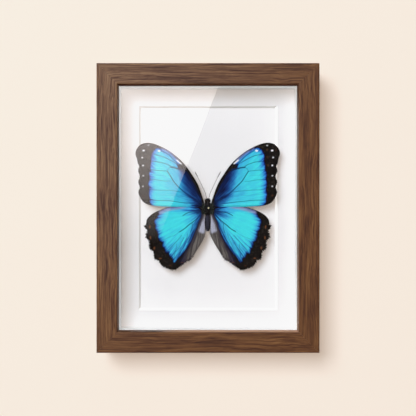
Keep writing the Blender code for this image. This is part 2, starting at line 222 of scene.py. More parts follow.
def dress(material, *nodes):
    """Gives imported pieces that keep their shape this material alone."""
    for node in nodes:
        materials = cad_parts[node].data.materials
        materials.clear()
        materials.append(material)


# %% [markdown]
# ## Small tools for shapes
# Every new piece is a grid of points worked out as whole arrays. These helpers turn grids into
# faces, grids and faces into an object, and a few given points into a smooth line.


# %% Grid and mesh helpers
def grid_faces(rows, columns, wrap_rows=False, wrap_columns=False, first=0):
    """The four-cornered faces of a grid. A wrapped direction joins its last line to its first."""
    row, column = np.meshgrid(
        np.arange(rows if wrap_rows else rows - 1),
        np.arange(columns if wrap_columns else columns - 1),
        indexing="ij",
    )
    next_row, next_column = (row + 1) % rows, (column + 1) % columns
    corners = (
        row * columns + column,
        next_row * columns + column,
        next_row * columns + next_column,
        row * columns + next_column,
    )
    return np.stack(corners, -1).reshape(-1, 4) + first


def fan_faces(ring, tip, turned=False):
    """Triangles from each side of a closed ring of points to one tip."""
    after = np.roll(ring, -1)
    sides = (after, ring) if turned else (ring, after)
    return np.stack([*sides, np.full(len(ring), tip)], -1)


def end_faces(rows, columns):
    """The first and last line of a grid, as the two faces that close the ends of a tube."""
    ring = np.arange(columns)
    return np.stack([ring, ring[::-1] + columns * (rows - 1)])


def turns(count):
    """Angles at equal steps once round a circle."""
    return np.linspace(0, 2 * math.pi, count, endpoint=False)


def unit(vectors):
    return vectors / np.linalg.norm(vectors, axis=1)[:, None]


def volume(points, faces):
    """Six times the volume inside closed faces: the sum of a . (b x c) over their triangles."""
    total = 0.0
    for group in faces:
        for corner in range(1, group.shape[1] - 1):
            a, b, c = (points[group[:, i]] for i in (0, corner, corner + 1))
            total += float(np.einsum("ij,ij->i", a, np.cross(b, c)).sum())
    return total


def build(name, points, faces, material, values=None, sharp_from=None):
    """An object from points and lists of faces, turned so that its faces point outwards.

    values holds one number, or one vector, for each point, under the name of an attribute.
    """
    points = np.asarray(points, float)
    if volume(points - points.mean(0), faces) < 0:
        faces = [group[:, ::-1] for group in faces]
    mesh = bpy.data.meshes.new(name)
    mesh.from_pydata(points, [], [face for group in faces for face in group.tolist()])
    for key, data in (values or {}).items():
        data = np.asarray(data, np.float32)
        kind, field = ("FLOAT", "value") if data.ndim == 1 else ("FLOAT_VECTOR", "vector")
        mesh.attributes.new(key, kind, "POINT").data.foreach_set(field, data.ravel())
    mesh.shade_smooth()
    if sharp_from is not None:
        mesh.set_sharp_from_angle(angle=math.radians(sharp_from))
    mesh.materials.append(material)
    return new_object(name, mesh)


def install(obj, slot, *nodes):
    """Rides the piece on the part's one body, in the place of the named nodes."""
    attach(obj, "root")
    if nodes:
        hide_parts(*nodes)
    faces = obj.data.polygons
    print(f"{obj.name}: {len(obj.data.vertices)} points, {len(faces)} faces")
    return obj


# %% Line helpers
def through(points, per_span=16, closed=False):
    """A smooth line through points.

    On each span it is the cubic whose slope at a point is half the step between the point's two
    neighbours.
    """
    p = np.asarray(points, float)
    if closed:
        chain = np.vstack([p[-1:], p, p[:2]])
    else:
        chain = np.vstack([2 * p[:1] - p[1:2], p, 2 * p[-1:] - p[-2:-1]])
    t = np.linspace(0, 1, per_span, endpoint=False)[None, :, None]
    spans = len(chain) - 3
    a, b, c, d = (chain[i : i + spans, None] for i in range(4))
    cubic = 2 * b + (c - a) * t + (2 * a - 5 * b + 4 * c - d) * t**2
    line = (cubic + (3 * b - a - 3 * c + d) * t**3) / 2
    return np.vstack([line.reshape(-1, p.shape[1]), chain[-2]])


def spaced(line, count, weight=None):
    """The line again with count points at equal steps of its length times weight."""
    steps = np.linalg.norm(np.diff(line, axis=0), axis=1)
    if weight is not None:
        steps = steps * (weight[1:] + weight[:-1]) / 2
    travelled = np.concatenate([[0.0], np.cumsum(steps)])
    wanted = np.linspace(0, travelled[-1], count)
    return np.stack([np.interp(wanted, travelled, part) for part in line.T], -1)


def distance_to(points, line):
    """Shortest distance from each point to a line, as the least of those to its short segments."""
    best = np.full(len(points), np.inf)
    for start, end in zip(line[:-1], line[1:]):
        step = end - start
        share = np.clip((points - start) @ step / max(step @ step, 1e-12), 0, 1)
        gap = points - start - share[:, None] * step
        best = np.minimum(best, np.einsum("ij,ij->i", gap, gap))
    return np.sqrt(best)


def depth_inside(points, outline):
    """Distance to a closed outline, positive inside and negative outside.

    A point is inside when a ray from it towards +x crosses the outline an odd number of times.
    """
    loop = np.vstack([outline, outline[:1]])
    inside = np.zeros(len(points), bool)
    for (x0, z0), (x1, z1) in zip(loop[:-1], loop[1:]):
        if z0 != z1:
            spans = (z0 > points[:, 1]) != (z1 > points[:, 1])
            inside ^= spans & (points[:, 0] < x0 + (points[:, 1] - z0) * (x1 - x0) / (z1 - z0))
    return np.where(inside, 1.0, -1.0) * distance_to(points, loop)


def inside_curve(points, corners):
    """Depth inside the smooth closed line through the corners."""
    return depth_inside(points, through(corners, 6, closed=True)[:-1])


def from_curve(points, corners):
    """Distance to the smooth open line through the corners."""
    return distance_to(points, through(corners, 6))


def rise(value, start, end):
    """0 before start and 1 after end, along 3t^2 - 2t^3 between them. It falls if end < start."""
    t = np.clip((value - start) / (end - start), 0, 1)
    return t * t * (3 - 2 * t)


def arc(center, radius, start, end, steps):
    """Points along an arc, with its angles in degrees."""
    angle = np.radians(np.linspace(start, end, steps + 1))
    return np.stack([center[0] + radius * np.cos(angle), center[1] + radius * np.sin(angle)], -1)


# %% [markdown]
# ## Walnut
# Walnut shows long fine streaks that run with the grain, slow bands of darker heartwood, and short
# dark pores. All three come from one idea: noise looked up in a space that is squeezed along the
# grain, so that every blob is drawn out into a streak. Each rail carries that space as its own
# attribute, "plank" (across, through and along the rail), so the grain turns the corner with it.

# %% Walnut finish
BAND_SQUEEZE = (230, 160, 12)
STREAK_SQUEEZE = (900, 640, 24)
HAIR_SQUEEZE = (2300, 1900, 120)
PORE_SQUEEZE = (1500, 1300, 150)
WANDER = 4.5 * MM

walnut_group, given, wanted = new_group(
    "WoodGrain",
    {"Plank": "Vector", "PaintedCornerShade": "Float", "LipLightAndShade": "Float"},
    {"Color": "Color", "Roughness": "Float", "Shine": "Float", "Height": "Float"},
)
g = walnut_group
sway = swing(g, noise(g, stretched(g, given["Plank"], (60, 60, 28)), 1.0, 1.0), WANDER)
sideways = add(g, "ShaderNodeCombineXYZ", {"X": sway, "Y": sway}).outputs[0]
bent = add(g, "ShaderNodeVectorMath", {0: given["Plank"], 1: sideways}).outputs[0]
bands = noise(g, stretched(g, bent, BAND_SQUEEZE), 1.0, 1.0)
streaks = noise(g, stretched(g, bent, STREAK_SQUEEZE), 1.0, 3.0, 0.6)
hairs = noise(g, stretched(g, bent, HAIR_SQUEEZE), 1.0, 2.0)
figure = plus(g, times(g, bands, 0.22), times(g, streaks, 0.78))
figure = plus(g, figure, swing(g, hairs, 0.22))
grain_color = ramp(
    g,
    figure,
    (0.34, srgb(58, 35, 25)),
    (0.43, srgb(84, 55, 38)),
    (0.5, srgb(101, 70, 48)),
    (0.58, srgb(116, 84, 57)),
    (0.7, srgb(138, 105, 74)),
)
pores = soft_step(g, noise(g, stretched(g, bent, PORE_SQUEEZE), 1.0, 1.0), 0.64, 0.74)
pored = mixed(g, times(g, pores, 0.4), grain_color, srgb(50, 32, 22))
# Painted shade: the wood is darker and warmer towards the bottom right, away from the light up on the
# left.
corner_shaded = mixed(g, given["PaintedCornerShade"], pored, mixed(g, 1.0, pored, srgb(232, 215, 192), "MULTIPLY"))
# Painted shade and light on the lip: darker than the face where its value is below 0, lighter above.
lip_painted_shade = mixed(g, calc(g, "MULTIPLY", given["LipLightAndShade"], -1.0, True), corner_shaded, srgb(112, 76, 57))
lip_light_and_shade = mixed(g, calc(g, "MULTIPLY", given["LipLightAndShade"], 1.0, True), lip_painted_shade, srgb(208, 162, 132))
matt = calc(g, "ABSOLUTE", given["LipLightAndShade"])
g.links.new(lip_light_and_shade, wanted["Color"])
g.links.new(calc(g, "MAXIMUM", soft_step(g, figure, 0.3, 0.7, 0.55, 0.42), matt), wanted["Roughness"])
g.links.new(times(g, calc(g, "SUBTRACT", 1.0, matt, True), 0.2), wanted["Shine"])
g.links.new(calc(g, "SUBTRACT", hairs, pores), wanted["Height"])

walnut, tree, shader = new_material("oiled_walnut", {"Roughness": 0.45, "Specular IOR Level": 0.2})
plank = attribute(tree, "plank", "Vector")
tones = {"PaintedCornerShade": attribute(tree, "painted_corner_shade"), "LipLightAndShade": attribute(tree, "lip_light_and_shade")}
grain = use_group(tree, walnut_group, {"Plank": plank, **tones})
feeds = {"Base Color": grain["Color"], "Roughness": grain["Roughness"]}
feeds["Specular IOR Level"] = grain["Shine"]
feeds["Normal"] = bump(tree, grain["Height"], 0.35, 0.05 * MM)
feed(tree, shader, feeds)
wide, long = 1 / STREAK_SQUEEZE[0] / MM, 1 / STREAK_SQUEEZE[2] / MM
print(f"walnut: streaks about {wide:.1f} mm wide and {long:.0f} mm long")

# %% [markdown]
# ## The rails
# A picture frame is four lengths of one moulding, mitred. So a rail is its section carried along a
# line: section point (x, y) goes to (x, y, s (L/2 - x)), with s from -1 to 1. The x in the length
# gives the 45 degree ends by itself. Edges are rounded as a sanded frame's are. The lip round the
# opening carries painted shade where the corner is in shade, and painted light where light falls.

# %% Rail section
CLEARANCE = 0.3 * MM
FACE_WIDTH = 16.2 * MM
LIP_SLOPE = 0.6 * MM
OUTER_ROUND = 1.2 * MM
INNER_ROUND = 0.7 * MM
BACK_ROUND = 0.6 * MM
RAIL_STATIONS = 90

glass_low, glass_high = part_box("glass_pane")
LIP_BACK = glass_low[1] - CLEARANCE
REBATE_EDGE = glass_low[0] - CLEARANCE - LOW[0]
BACK = HIGH[1]
flat_face = [(x * MM, FRONT) for x in np.linspace(2.4, 14.2, 9)]
rail_section = np.vstack([
    arc((OUTER_ROUND, FRONT + OUTER_ROUND), OUTER_ROUND, 180, 270, 10),
    flat_face,
    arc((FACE_WIDTH - INNER_ROUND, FRONT + INNER_ROUND), INNER_ROUND, 270, 360, 8),
    [(FACE_WIDTH + LIP_SLOPE, LIP_BACK), (REBATE_EDGE, LIP_BACK), (REBATE_EDGE, BACK)],
    arc((BACK_ROUND, BACK - BACK_ROUND), BACK_ROUND, 90, 180, 5),
])
print("rail section:", len(rail_section), "points")

# %% Rails
MITRE_GAP = 0.05 * MM
# Painted light and shade on the lip is at its first strength up to here from the shaded corner,
# and at its second strength from there on.
SHADED_REACH, OPEN_REACH = 20 * MM, 75 * MM


def rail(name, node, length, start, place, lip_light_and_shade_ends):
    """The section carried along one side. place turns (in, through, along) into x, y and z.

    The plank's third coordinate runs on round the whole frame from start, and it is the same for
    every point of one mitre, so the grain of one rail meets the grain of the next. The last argument
    holds the strength of the lip's painted light and shade near the shaded corner and away from it:
    below 0 it is painted shade, above 0 painted light.
    """
    share = np.linspace(-1, 1, RAIL_STATIONS)[:, None]
    inwards, through_y = rail_section.T
    along = share * (length / 2 - inwards - MITRE_GAP)
    inwards = np.broadcast_to(inwards, along.shape)
    through_y = np.broadcast_to(through_y, along.shape)
    round_frame = np.broadcast_to(start + (1 + share) * length / 2, along.shape)
    points = np.stack(place(inwards, through_y, along), -1).reshape(-1, 3)
    plank = np.stack([inwards, through_y, round_frame], -1).reshape(-1, 3)
    across = (points[:, 0] - LOW[0]) / WIDTH + (HIGH[2] - points[:, 2]) / HEIGHT
    on_lip = rise(inwards, FACE_WIDTH - 0.25 * MM, FACE_WIDTH + 0.02 * MM).ravel()
    from_shade = np.minimum(points[:, 0] - LOW[0], HIGH[2] - points[:, 2])
    # Painted shade on the lip near the shaded corner, changing to its second strength further away.
    lip_light_and_shade = lip_light_and_shade_ends[0] + (lip_light_and_shade_ends[1] - lip_light_and_shade_ends[0]) * rise(from_shade, SHADED_REACH, OPEN_REACH)
    # The second value paints shade on the wood towards the bottom right; the third paints the lip's
    # light and shade.
    values = {"plank": plank, "painted_corner_shade": rise(across, 0.25, 1.3), "lip_light_and_shade": lip_light_and_shade * on_lip}
    size = (RAIL_STATIONS, len(rail_section))
    faces = [grid_faces(*size, wrap_columns=True), end_faces(*size)]
    return install(build(name, points, faces, walnut, values, sharp_from=35), "wood", node)


# Each rail: its side, its length, its lip's painted light and shade, and how it is turned into place.
RAILS = (
    ("left", HEIGHT, (0.12, 0.12), lambda x, y, s: (LOW[0] + x, y, MIDDLE_Z + s)),
    ("top", WIDTH, (-0.95, -0.95), lambda x, y, s: (s, y, HIGH[2] - x)),
    ("right", HEIGHT, (-0.7, 0.4), lambda x, y, s: (HIGH[0] - x, y, MIDDLE_Z - s)),
    ("bottom", WIDTH, (-0.7, 0.88), lambda x, y, s: (-s, y, LOW[2] + x)),
)
corner = 0.0
for side_name, length, lip_light_and_shade_ends, place in RAILS:
    rail("walnut_rail_" + side_name, "frame_" + side_name, length, corner, place, lip_light_and_shade_ends)
    corner += length

# %% [markdown]
# ## Paper and card
# The spacers, the mat and the mount board are all white card, and what tells them apart is small:
# a faint mottle, fine fibres and a slightly different white. One group gives the mottle and the
# fibres, and each material mixes them in its own measure. Light and shade are painted on the cuts:
# one that faces the window up on the left gets a lit white and a faint painted glow, and one that
# faces away a shaded white and a weaker glow. On the mat only bare core facing the window glows.

# %% Card finishes
BOARD_WHITE = srgb(245, 244, 245)
MAT_WHITE = srgb(236, 235, 236)
# Painted shade and painted light: one white for cuts that face away from the window, one for cuts facing
# it.
CORE_PAINTED_SHADE, CORE_PAINTED_LIGHT = srgb(237, 236, 234), srgb(255, 255, 254)
SPACER_PAINTED_SHADE, SPACER_PAINTED_LIGHT = srgb(244, 246, 245), srgb(253, 250, 246)
# What is left of the painted glow, in red, green and blue, on a cut that faces away from the window.
PAINTED_GLOW_AWAY = (0.66, 0.7, 0.72, 1)

card_group, given, wanted = new_group(
    "CardFibre",
    {"Vector": "Vector", "Color": "Color", "Amount": "Float"},
    {"Color": "Color", "Height": "Float"},
)
g = card_group
mottle = noise(g, given["Vector"], 90.0, 2.0)
fibre = noise(g, stretched(g, given["Vector"], (2600, 900, 900)), 1.0, 3.0, 0.6)
dull = times(g, soft_step(g, mottle, 0.35, 0.75), given["Amount"])
fleck = times(g, soft_step(g, fibre, 0.6, 0.8), given["Amount"])
shade = calc(g, "SUBTRACT", 1.0, plus(g, dull, fleck))
toned = add(g, "ShaderNodeVectorMath", {0: given["Color"], "Scale": shade}, operation="SCALE")
g.links.new(toned.outputs[0], wanted["Color"])
g.links.new(fibre, wanted["Height"])


def faces_window(tree):
    """The mask for painted light: 0 on a cut facing down or right, away from the window, 1 facing it."""
    normal = add(tree, "ShaderNodeTexCoord").outputs["Normal"]
    parts = add(tree, "ShaderNodeSeparateXYZ", {0: normal}).outputs
    return soft_step(tree, calc(tree, "SUBTRACT", parts["Z"], parts["X"]), -0.4, 0.4)


def card(name, shaded_white, lit_white, amount, roughness, glow, core=None):
    """A matt card with painted light and shade: a shaded white on cuts that face away from the window,
    and a lit white elsewhere.

    glow is the strength of a painted glow, light the card gives off though it is no lamp. core is the
    attribute that says where a mat's bare core shows: it has painted shaded and lit whites of its own
    there, and nothing else glows.
    """
    constants = {"Roughness": roughness, "Specular IOR Level": 0.2, "Emission Strength": 1.0}
    material, tree, shader = new_material(name, constants)
    place = object_place(tree)
    towards = faces_window(tree)
    color = mixed(tree, towards, shaded_white, lit_white)
    # Painted glow: the card gives off light though it is no lamp, a weaker, cooler share on cuts facing
    # away.
    painted_glow_color = mixed(tree, towards, [share * glow for share in PAINTED_GLOW_AWAY], (glow, glow, glow, 1))
    if core:
        bare = attribute(tree, core)
        color = mixed(tree, bare, color, mixed(tree, towards, CORE_PAINTED_SHADE, CORE_PAINTED_LIGHT))
        painted_glow_color = mixed(tree, times(tree, bare, towards), (0, 0, 0, 1), painted_glow_color)
    paper = use_group(tree, card_group, {"Vector": place, "Color": color, "Amount": amount})
    normal = bump(tree, paper["Height"], 0.25, 0.03 * MM)
    feed(tree, shader, {"Base Color": paper["Color"], "Normal": normal, "Emission Color": painted_glow_color})
    return material


board_paper = card("mount_paper", BOARD_WHITE, BOARD_WHITE, 0.015, 0.85, glow=0.0)
spacer_card = card("spacer_card", SPACER_PAINTED_SHADE, SPACER_PAINTED_LIGHT, 0.02, 0.75, glow=0.17)
mat_card = card("mat_card", MAT_WHITE, MAT_WHITE, 0.015, 0.85, glow=0.45, core="core")
print("card finishes:", board_paper.name, spacer_card.name, mat_card.name)

# %% [markdown]
# ## The window mat
# A mat is cut with a blade held at 45 degrees, which leaves a bright bevel of bare core round the
# window. Its shape is a stack of rectangles: each ring of the section is one rectangle, given by
# its half width, half height and depth, and faces join each ring to the next.


# %% Mat
def ringed_frame(name, rings, material, values, sharp_from):
    """Rectangles (half width, half height, y) joined in order, and the last to the first."""
    half_w, half_h, y = np.array(rings).T
    signs = np.array([(-1, -1), (1, -1), (1, 1), (-1, 1)])
    x = half_w[:, None] * signs[:, 0]
    z = MIDDLE_Z + half_h[:, None] * signs[:, 1]
    points = np.stack([x, np.broadcast_to(y[:, None], x.shape), z], -1).reshape(-1, 3)
    faces = grid_faces(len(rings), 4, wrap_rows=True, wrap_columns=True)
    spread = {key: np.repeat(value, 4) for key, value in values.items()}
    return build(name, points, [faces], material, spread, sharp_from)


mat_low, mat_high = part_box("window_mat")
WINDOW_HALF_WIDTH = 55.2 * MM
WINDOW_HALF_HEIGHT = 81.3 * MM
CUT_SOFTNESS = 0.08 * MM
mat_depth = mat_high[1] - mat_low[1]
outer = (mat_high[0], (mat_high[2] - mat_low[2]) / 2)
opening = np.array([WINDOW_HALF_WIDTH, WINDOW_HALF_HEIGHT])
bevel_foot = opening - mat_depth + CUT_SOFTNESS
mat_rings = [
    (*outer, mat_low[1]),
    (*(opening + CUT_SOFTNESS), mat_low[1]),
    (*(opening - 0.3 * CUT_SOFTNESS), mat_low[1] + 0.5 * CUT_SOFTNESS),
    (*bevel_foot, mat_high[1] - CUT_SOFTNESS),
    (*bevel_foot, mat_high[1]),
    (*outer, mat_high[1]),
]
mat = ringed_frame("bevelled_mat", mat_rings, mat_card, {"core": [0, 0, 1, 1, 1, 0]}, 20)
install(mat, "mat_board", "window_mat")

# %% Flat pieces that stay
dress(spacer_card, "spacer_top", "spacer_bottom", "spacer_left", "spacer_right")
dress(board_paper, "mount_board")
print("kept: four spacers and the mount board")

# %% [markdown]
# ## Glass
# Clear picture glass bends light and mirrors about a twelfth of what stands in front of it. A path
# tracer would also make it cast a shadow, so for shadow rays, and for soft light on its way to the
# mat, the material turns into a plain see-through one.

# %% Glass finish
glass, tree, shader = new_material(
    "picture_glass",
    {
        "Base Color": (0.995, 1.0, 0.998, 1.0),
        "Roughness": 0.0,
        "IOR": 1.5,
        "Transmission Weight": 1.0,
    },
)
clear = add(tree, "ShaderNodeBsdfTransparent", {"Color": (0.98, 0.98, 0.98, 1.0)})
path = add(tree, "ShaderNodeLightPath")
either = calc(tree, "MAXIMUM", path.outputs["Is Shadow Ray"], path.outputs["Is Diffuse Ray"])
either_shader = add(tree, "ShaderNodeMixShader", {0: either, 1: shader.outputs[0], 2: clear.outputs[0]})
tree.links.new(either_shader.outputs[0], tree.nodes["Material Output"].inputs["Surface"])
dress(glass, "glass_pane")
print("glass:", round((glass_high[1] - glass_low[1]) / MM, 1), "mm thick")

# %% [markdown]
# ## Where the wings' markings come from
# A butterfly's pattern follows its anatomy: veins fan out from the root, the blue fades over a
# certain width towards the margin, and each spot sits between two veins. So the markings here are
# distances. For each point of a wing, a few functions measure how far it is from a vein, from the
# edge of the blue or from a spot, and the material turns those numbers into colour. Outlines and
# veins are short lists of points, in millimetres from the middle of the body, x outwards, z up.

# %% Wing outlines
FOREWING_OUTLINE = [
    (3.0, 5.8), (4.2, 10.0), (8.0, 20.0), (14.1, 30.0), (20.3, 37.8), (30.0, 45.9), (40.0, 51.0),
    (47.0, 52.6), (52.4, 51.4), (55.8, 47.8), (56.8, 43.9), (55.6, 40.0), (55.1, 36.8), (53.9, 34.2),
    (54.7, 30.4), (53.3, 26.0), (54.6, 21.7), (53.4, 17.5), (54.5, 13.7), (52.9, 9.3), (49.6, 5.3),
    (43.5, 3.2), (32.0, 2.4), (18.0, 2.2), (7.5, 2.1), (3.7, 1.2),
]
HINDWING_OUTLINE = [
    (3.9, 0.2), (8.5, 2.6), (18.0, 3.6), (28.0, 2.7), (37.0, -0.1), (43.4, -3.2), (47.7, -7.3),
    (48.5, -11.2), (49.9, -13.5), (47.7, -16.0), (48.9, -21.3), (46.3, -24.9), (45.9, -30.5),
    (42.7, -33.4), (42.0, -38.6), (39.0, -40.0), (36.1, -44.2), (33.3, -45.7), (27.0, -47.5),
    (22.5, -45.2), (15.6, -40.2), (13.7, -39.7), (9.6, -33.6), (4.5, -25.3), (1.9, -19.0),
    (2.4, -13.0), (2.4, -7.0), (3.3, -3.2),
]

# %% Forewing markings
FORE_BLUE_EDGE = [
    (36.5, 48.0), (40.6, 48.2), (43.0, 45.6), (44.7, 42.2), (44.3, 38.4), (45.2, 35.2), (45.0, 31.5),
    (46.3, 27.6), (45.6, 24.0), (46.6, 19.6), (45.7, 15.8), (46.4, 12.0), (45.5, 7.9), (45.5, 5.9),
    (44.6, 4.4),
]
FORE_BLUE_REST = [
    (42.0, 3.1), (32.0, 2.1), (18.0, 1.7), (8.0, 1.6), (3.8, 2.4), (5.4, 9.0), (9.8, 18.8), (15.7, 28.8),
    (21.6, 36.8), (30.8, 45.0),
]
# Each vein: its width in mm, its strength, and the points it runs through.
FORE_VEINS = [
    (0.40, 1.0, [(6, 5.5), (12, 9.3), (15, 11.0), (20, 15.2), (25, 20.2), (28.2, 24.5), (30.6, 28.2),
                 (31.7, 30.2)]),
    (0.62, 1.0, [(18.6, 31.0), (21, 31.5), (24, 32.3), (27, 33.2), (29.2, 33.4)]),
    (0.80, 1.0, [(19.0, 31.2), (21.5, 31.8), (23.5, 32.5)]),
    (0.28, 0.75, [(29.2, 33.4), (30.7, 32.2), (31.7, 30.2)]),
    (0.30, 0.8, [(31.7, 30.2), (37, 30.7), (45.5, 31.5)]),
    (0.28, 0.65, [(29.0, 22.4), (33, 22.4), (38, 23.2), (46, 24.0)]),
    (0.28, 0.65, [(19.5, 13.8), (25, 14.6), (30, 15.1), (38, 15.4), (46, 15.8)]),
    (0.30, 0.8, [(6, 3.6), (13, 4.9), (20, 5.7), (30, 6.9), (38, 7.3), (46, 7.8)]),
    (0.32, 0.85, [(29.0, 33.6), (32, 35.6), (38, 37.4), (45, 38.3)]),
    (0.32, 0.85, [(22, 34.0), (26, 36.9), (31, 39.7), (36, 41.9), (43.5, 43.9)]),
    (0.40, 0.85, [(22.5, 34.8), (26.5, 39.0), (31, 43.2), (36.5, 46.3)]),
    (0.40, 0.7, [(4, 4.2), (8, 6.3), (11.5, 7.6)]),
    (0.40, 0.6, [(4, 5.0), (8, 9.0), (12, 14.0)]),
    (0.40, 0.65, [(4, 3.6), (8, 3.8), (12.5, 3.5)]),
    (0.22, 0.4, [(14, 9.0), (20, 10.4), (30, 11.2), (42, 11.8)]),
    (0.22, 0.4, [(32, 26.4), (38, 26.9), (45, 27.7)]),
]
# Each spot or smudge: x, z, half width, half height, brightness.
FORE_SPOTS = [
    (46.8, 50.5, 0.75, 0.5, 0.55), (50.4, 46.4, 1.0, 0.7, 1.0), (51.4, 40.9, 0.7, 0.6, 0.85),
    (50.9, 34.7, 0.7, 0.65, 0.95), (50.8, 26.6, 0.65, 0.6, 0.66), (50.9, 18.3, 0.65, 0.6, 0.68),
    (38.2, 46.2, 1.1, 0.8, 1.0),
]
FORE_SMUDGES = [
    (50.8, 11.0, 0.9, 0.8, 0.7), (46.5, 47.0, 0.9, 1.0, 0.5), (47.0, 41.5, 0.9, 1.0, 0.4),
    (47.5, 35.0, 0.8, 0.9, 0.7), (53.6, 46.6, 0.7, 0.9, 0.4),
]
COSTA_PATCH = [
    (16.0, 30.6), (18.3, 33.8), (20.4, 36.2), (22.4, 35.7), (24.2, 35.6), (23.4, 33.6), (22.2, 32.0),
    (19.2, 30.4),
]
COSTA_WHITE = [(20.9, 36.1), (22.3, 37.3), (23.9, 38.8)]
COSTA_LILAC = [(23.0, 38.4), (26.0, 41.3), (30.0, 44.7), (36.0, 47.9)]


def strongest_of(points, veins):
    """The strongest vein at each point: strength times exp(-(distance / width)^2)."""
    strongest = np.zeros(len(points))
    for width, strength, line in veins:
        near = strength * np.exp(-((distance_to(points, through(line, 8)) / width) ** 2))
        strongest = np.maximum(strongest, near)
    return strongest


def spotted(points, spots):
    """The brightest spot at each point. A spot is an ellipse whose rim is soft over its last third."""
    brightest = np.zeros(len(points))
    for x, z, half_width, half_height, brightness in spots:
        away = np.hypot((points[:, 0] - x) / half_width, (points[:, 1] - z) / half_height)
        brightest = np.maximum(brightest, brightness * rise(away, 1.25, 0.7))
    return brightest


def least(*values):
    return np.minimum.reduce(values)


def forewing_marks(points):
    """Blue is 0 in the black and 1 in full cyan: the least of what the borders and the root allow."""
    x, z = points.T
    border = inside_curve(points, FORE_BLUE_EDGE + FORE_BLUE_REST)
    from_edge = from_curve(points, FORE_BLUE_EDGE)
    fade = [0.2, 0.42, 0.55, 0.68, 0.84, 1.0]
    near_margin = np.interp(from_edge, [0, 0.4, 1.0, 1.8, 3.0, 5.5], fade)
    root_line = np.interp(z, [2, 5, 11, 20, 30, 36], [6.0, 8.6, 12.6, 16.6, 19.2, 20.2])
    from_root = (x - root_line) * 0.93 / np.interp(z, [4, 10, 22], [1.2, 1.7, 1.0])
    shade = [0.21, 0.23, 0.36, 0.53, 0.78, 0.89, 1.0]
    near_root = np.interp(from_root, [-6.0, -2.2, 0, 2, 5, 10, 20], shade)
    near_body = np.interp(np.hypot(x - 2, z - 4), [2.5, 5, 8, 14], [0.02, 0.2, 0.5, 1.0])
    costa = from_curve(points, FOREWING_OUTLINE[4:8])
    near_costa = np.interp(costa, [0.6, 2.0, 4.0, 8.0], [0.5, 0.66, 0.86, 0.97])
    blue = least(near_margin, near_root, near_body, near_costa) * rise(border, -0.6, 0.6)
    blue = blue * rise(inside_curve(points, COSTA_PATCH), 0.35, -0.35)
    from_lilac = from_curve(points, COSTA_LILAC)
    lilac = 0.7 * rise(from_lilac, 2.0, 0.3) * np.interp(x, [22, 24, 36, 40], [1, 1, 0.9, 0.3])
    violet = np.maximum(
        np.interp(from_edge, [0, 1.2, 3.0, 5.0], [1.0, 0.9, 0.4, 0.0]),
        np.interp(from_lilac, [1.5, 3.5, 6.5], [0.8, 0.5, 0.0]),
    )
    white = 0.88 * rise(distance_to(points, through(COSTA_WHITE, 4)), 0.85, 0.3)
    return {
        "blue": blue,
        "vein": strongest_of(points, FORE_VEINS) * rise(border, -0.5, 0.8),
        "white": np.maximum(spotted(points, FORE_SPOTS), white),
        "lilac": lilac,
        "violet": violet,
        "pale": np.zeros(len(points)),
        "rust": 0.45 * spotted(points, FORE_SMUDGES),
        "ash": np.zeros(len(points)),
        "streak": np.interp(from_edge, [0, 1.5, 4.5, 8.0], [0.62, 0.5, 0.22, 0.12]),
    }


print("forewing:", len(FORE_VEINS), "veins and", len(FORE_SPOTS), "white spots")

# %% Hindwing markings
HIND_BLUE_EDGE = [
    (38.6, -3.0), (40.2, -6.0), (42.2, -8.8), (41.3, -12.0), (41.3, -15.0), (39.4, -17.6),
    (39.3, -21.0), (38.2, -24.4), (35.9, -25.6), (35.8, -28.8), (33.9, -31.7), (33.0, -34.6),
    (30.6, -34.6), (29.9, -37.2), (28.1, -38.6), (27.5, -40.8), (26.0, -41.9),
]
HIND_BLUE_INNER = [
    (26.0, -41.5), (24.5, -40.0), (23.0, -38.0), (20.5, -36.0), (18.5, -33.5), (16.0, -29.5),
    (13.5, -25.5), (11.3, -21.0), (8.9, -15.5), (6.6, -9.0), (4.8, -4.5),
]
HIND_BLUE_TOP = [(6.0, 0.5), (12.0, 1.9), (20.0, 2.2), (28.0, 1.2), (34.0, -0.8)]
HIND_VEINS = [
    (0.42, 1.0, [(4.5, -2.8), (6, -4.0), (9, -7.3), (12, -10.0), (15, -12.2), (18.5, -15.2),
                 (22, -17.4)]),
    (0.36, 0.95, [(4.5, -1.2), (7, -1.6), (10, -1.8), (14, -2.2), (17, -3.2), (19.6, -4.7)]),
    (0.34, 0.8, [(5.0, -4.5), (8, -10.5), (9.5, -14), (12.5, -19.5), (16, -26)]),
    (0.30, 0.8, [(12.2, -10.4), (12.3, -14.0), (13.6, -18.0)]),
    (0.24, 0.5, [(20, -16.2), (26, -20), (32, -22.4), (37.5, -24.6)]),
    (0.30, 0.7, [(20.5, -20), (26, -26.5), (30.5, -31.2), (32.6, -34.4)]),
    (0.32, 0.75, [(19, -22), (22, -28.5), (26, -34), (28.8, -37.6)]),
    (0.20, 0.3, [(22, -12), (30, -14.5), (38.5, -17.4)]),
    (0.20, 0.3, [(19, -4.6), (28, -7.5), (39, -12)]),
    (0.32, 0.65, [(15.5, -19), (18.5, -27), (22.5, -35.5)]),
    (0.30, 0.6, [(24.5, -27), (25.5, -33), (26.0, -38)]),
    (0.60, 0.8, [(3.5, -0.8), (6, -0.5), (8.5, -0.3)]),
    (0.40, 0.4, [(8.5, -0.3), (11, 0.0), (13.5, 0.3)]),
    (0.60, 0.85, [(3.5, -1.8), (6, -2.4), (8.5, -3.2)]),
    (0.42, 0.45, [(8.5, -3.2), (11, -4.1), (13.5, -5.2)]),
    (0.50, 0.7, [(3.8, -3.0), (5.8, -4.6), (7.5, -6.0)]),
    (0.36, 0.35, [(7.5, -6.0), (9.2, -7.6), (10.5, -9.4)]),
    (0.45, 0.6, [(4.0, -3.6), (5.4, -5.8), (6.5, -8.0)]),
    (0.34, 0.4, [(6.5, -8.0), (7.8, -10.8), (8.8, -13.5)]),
]
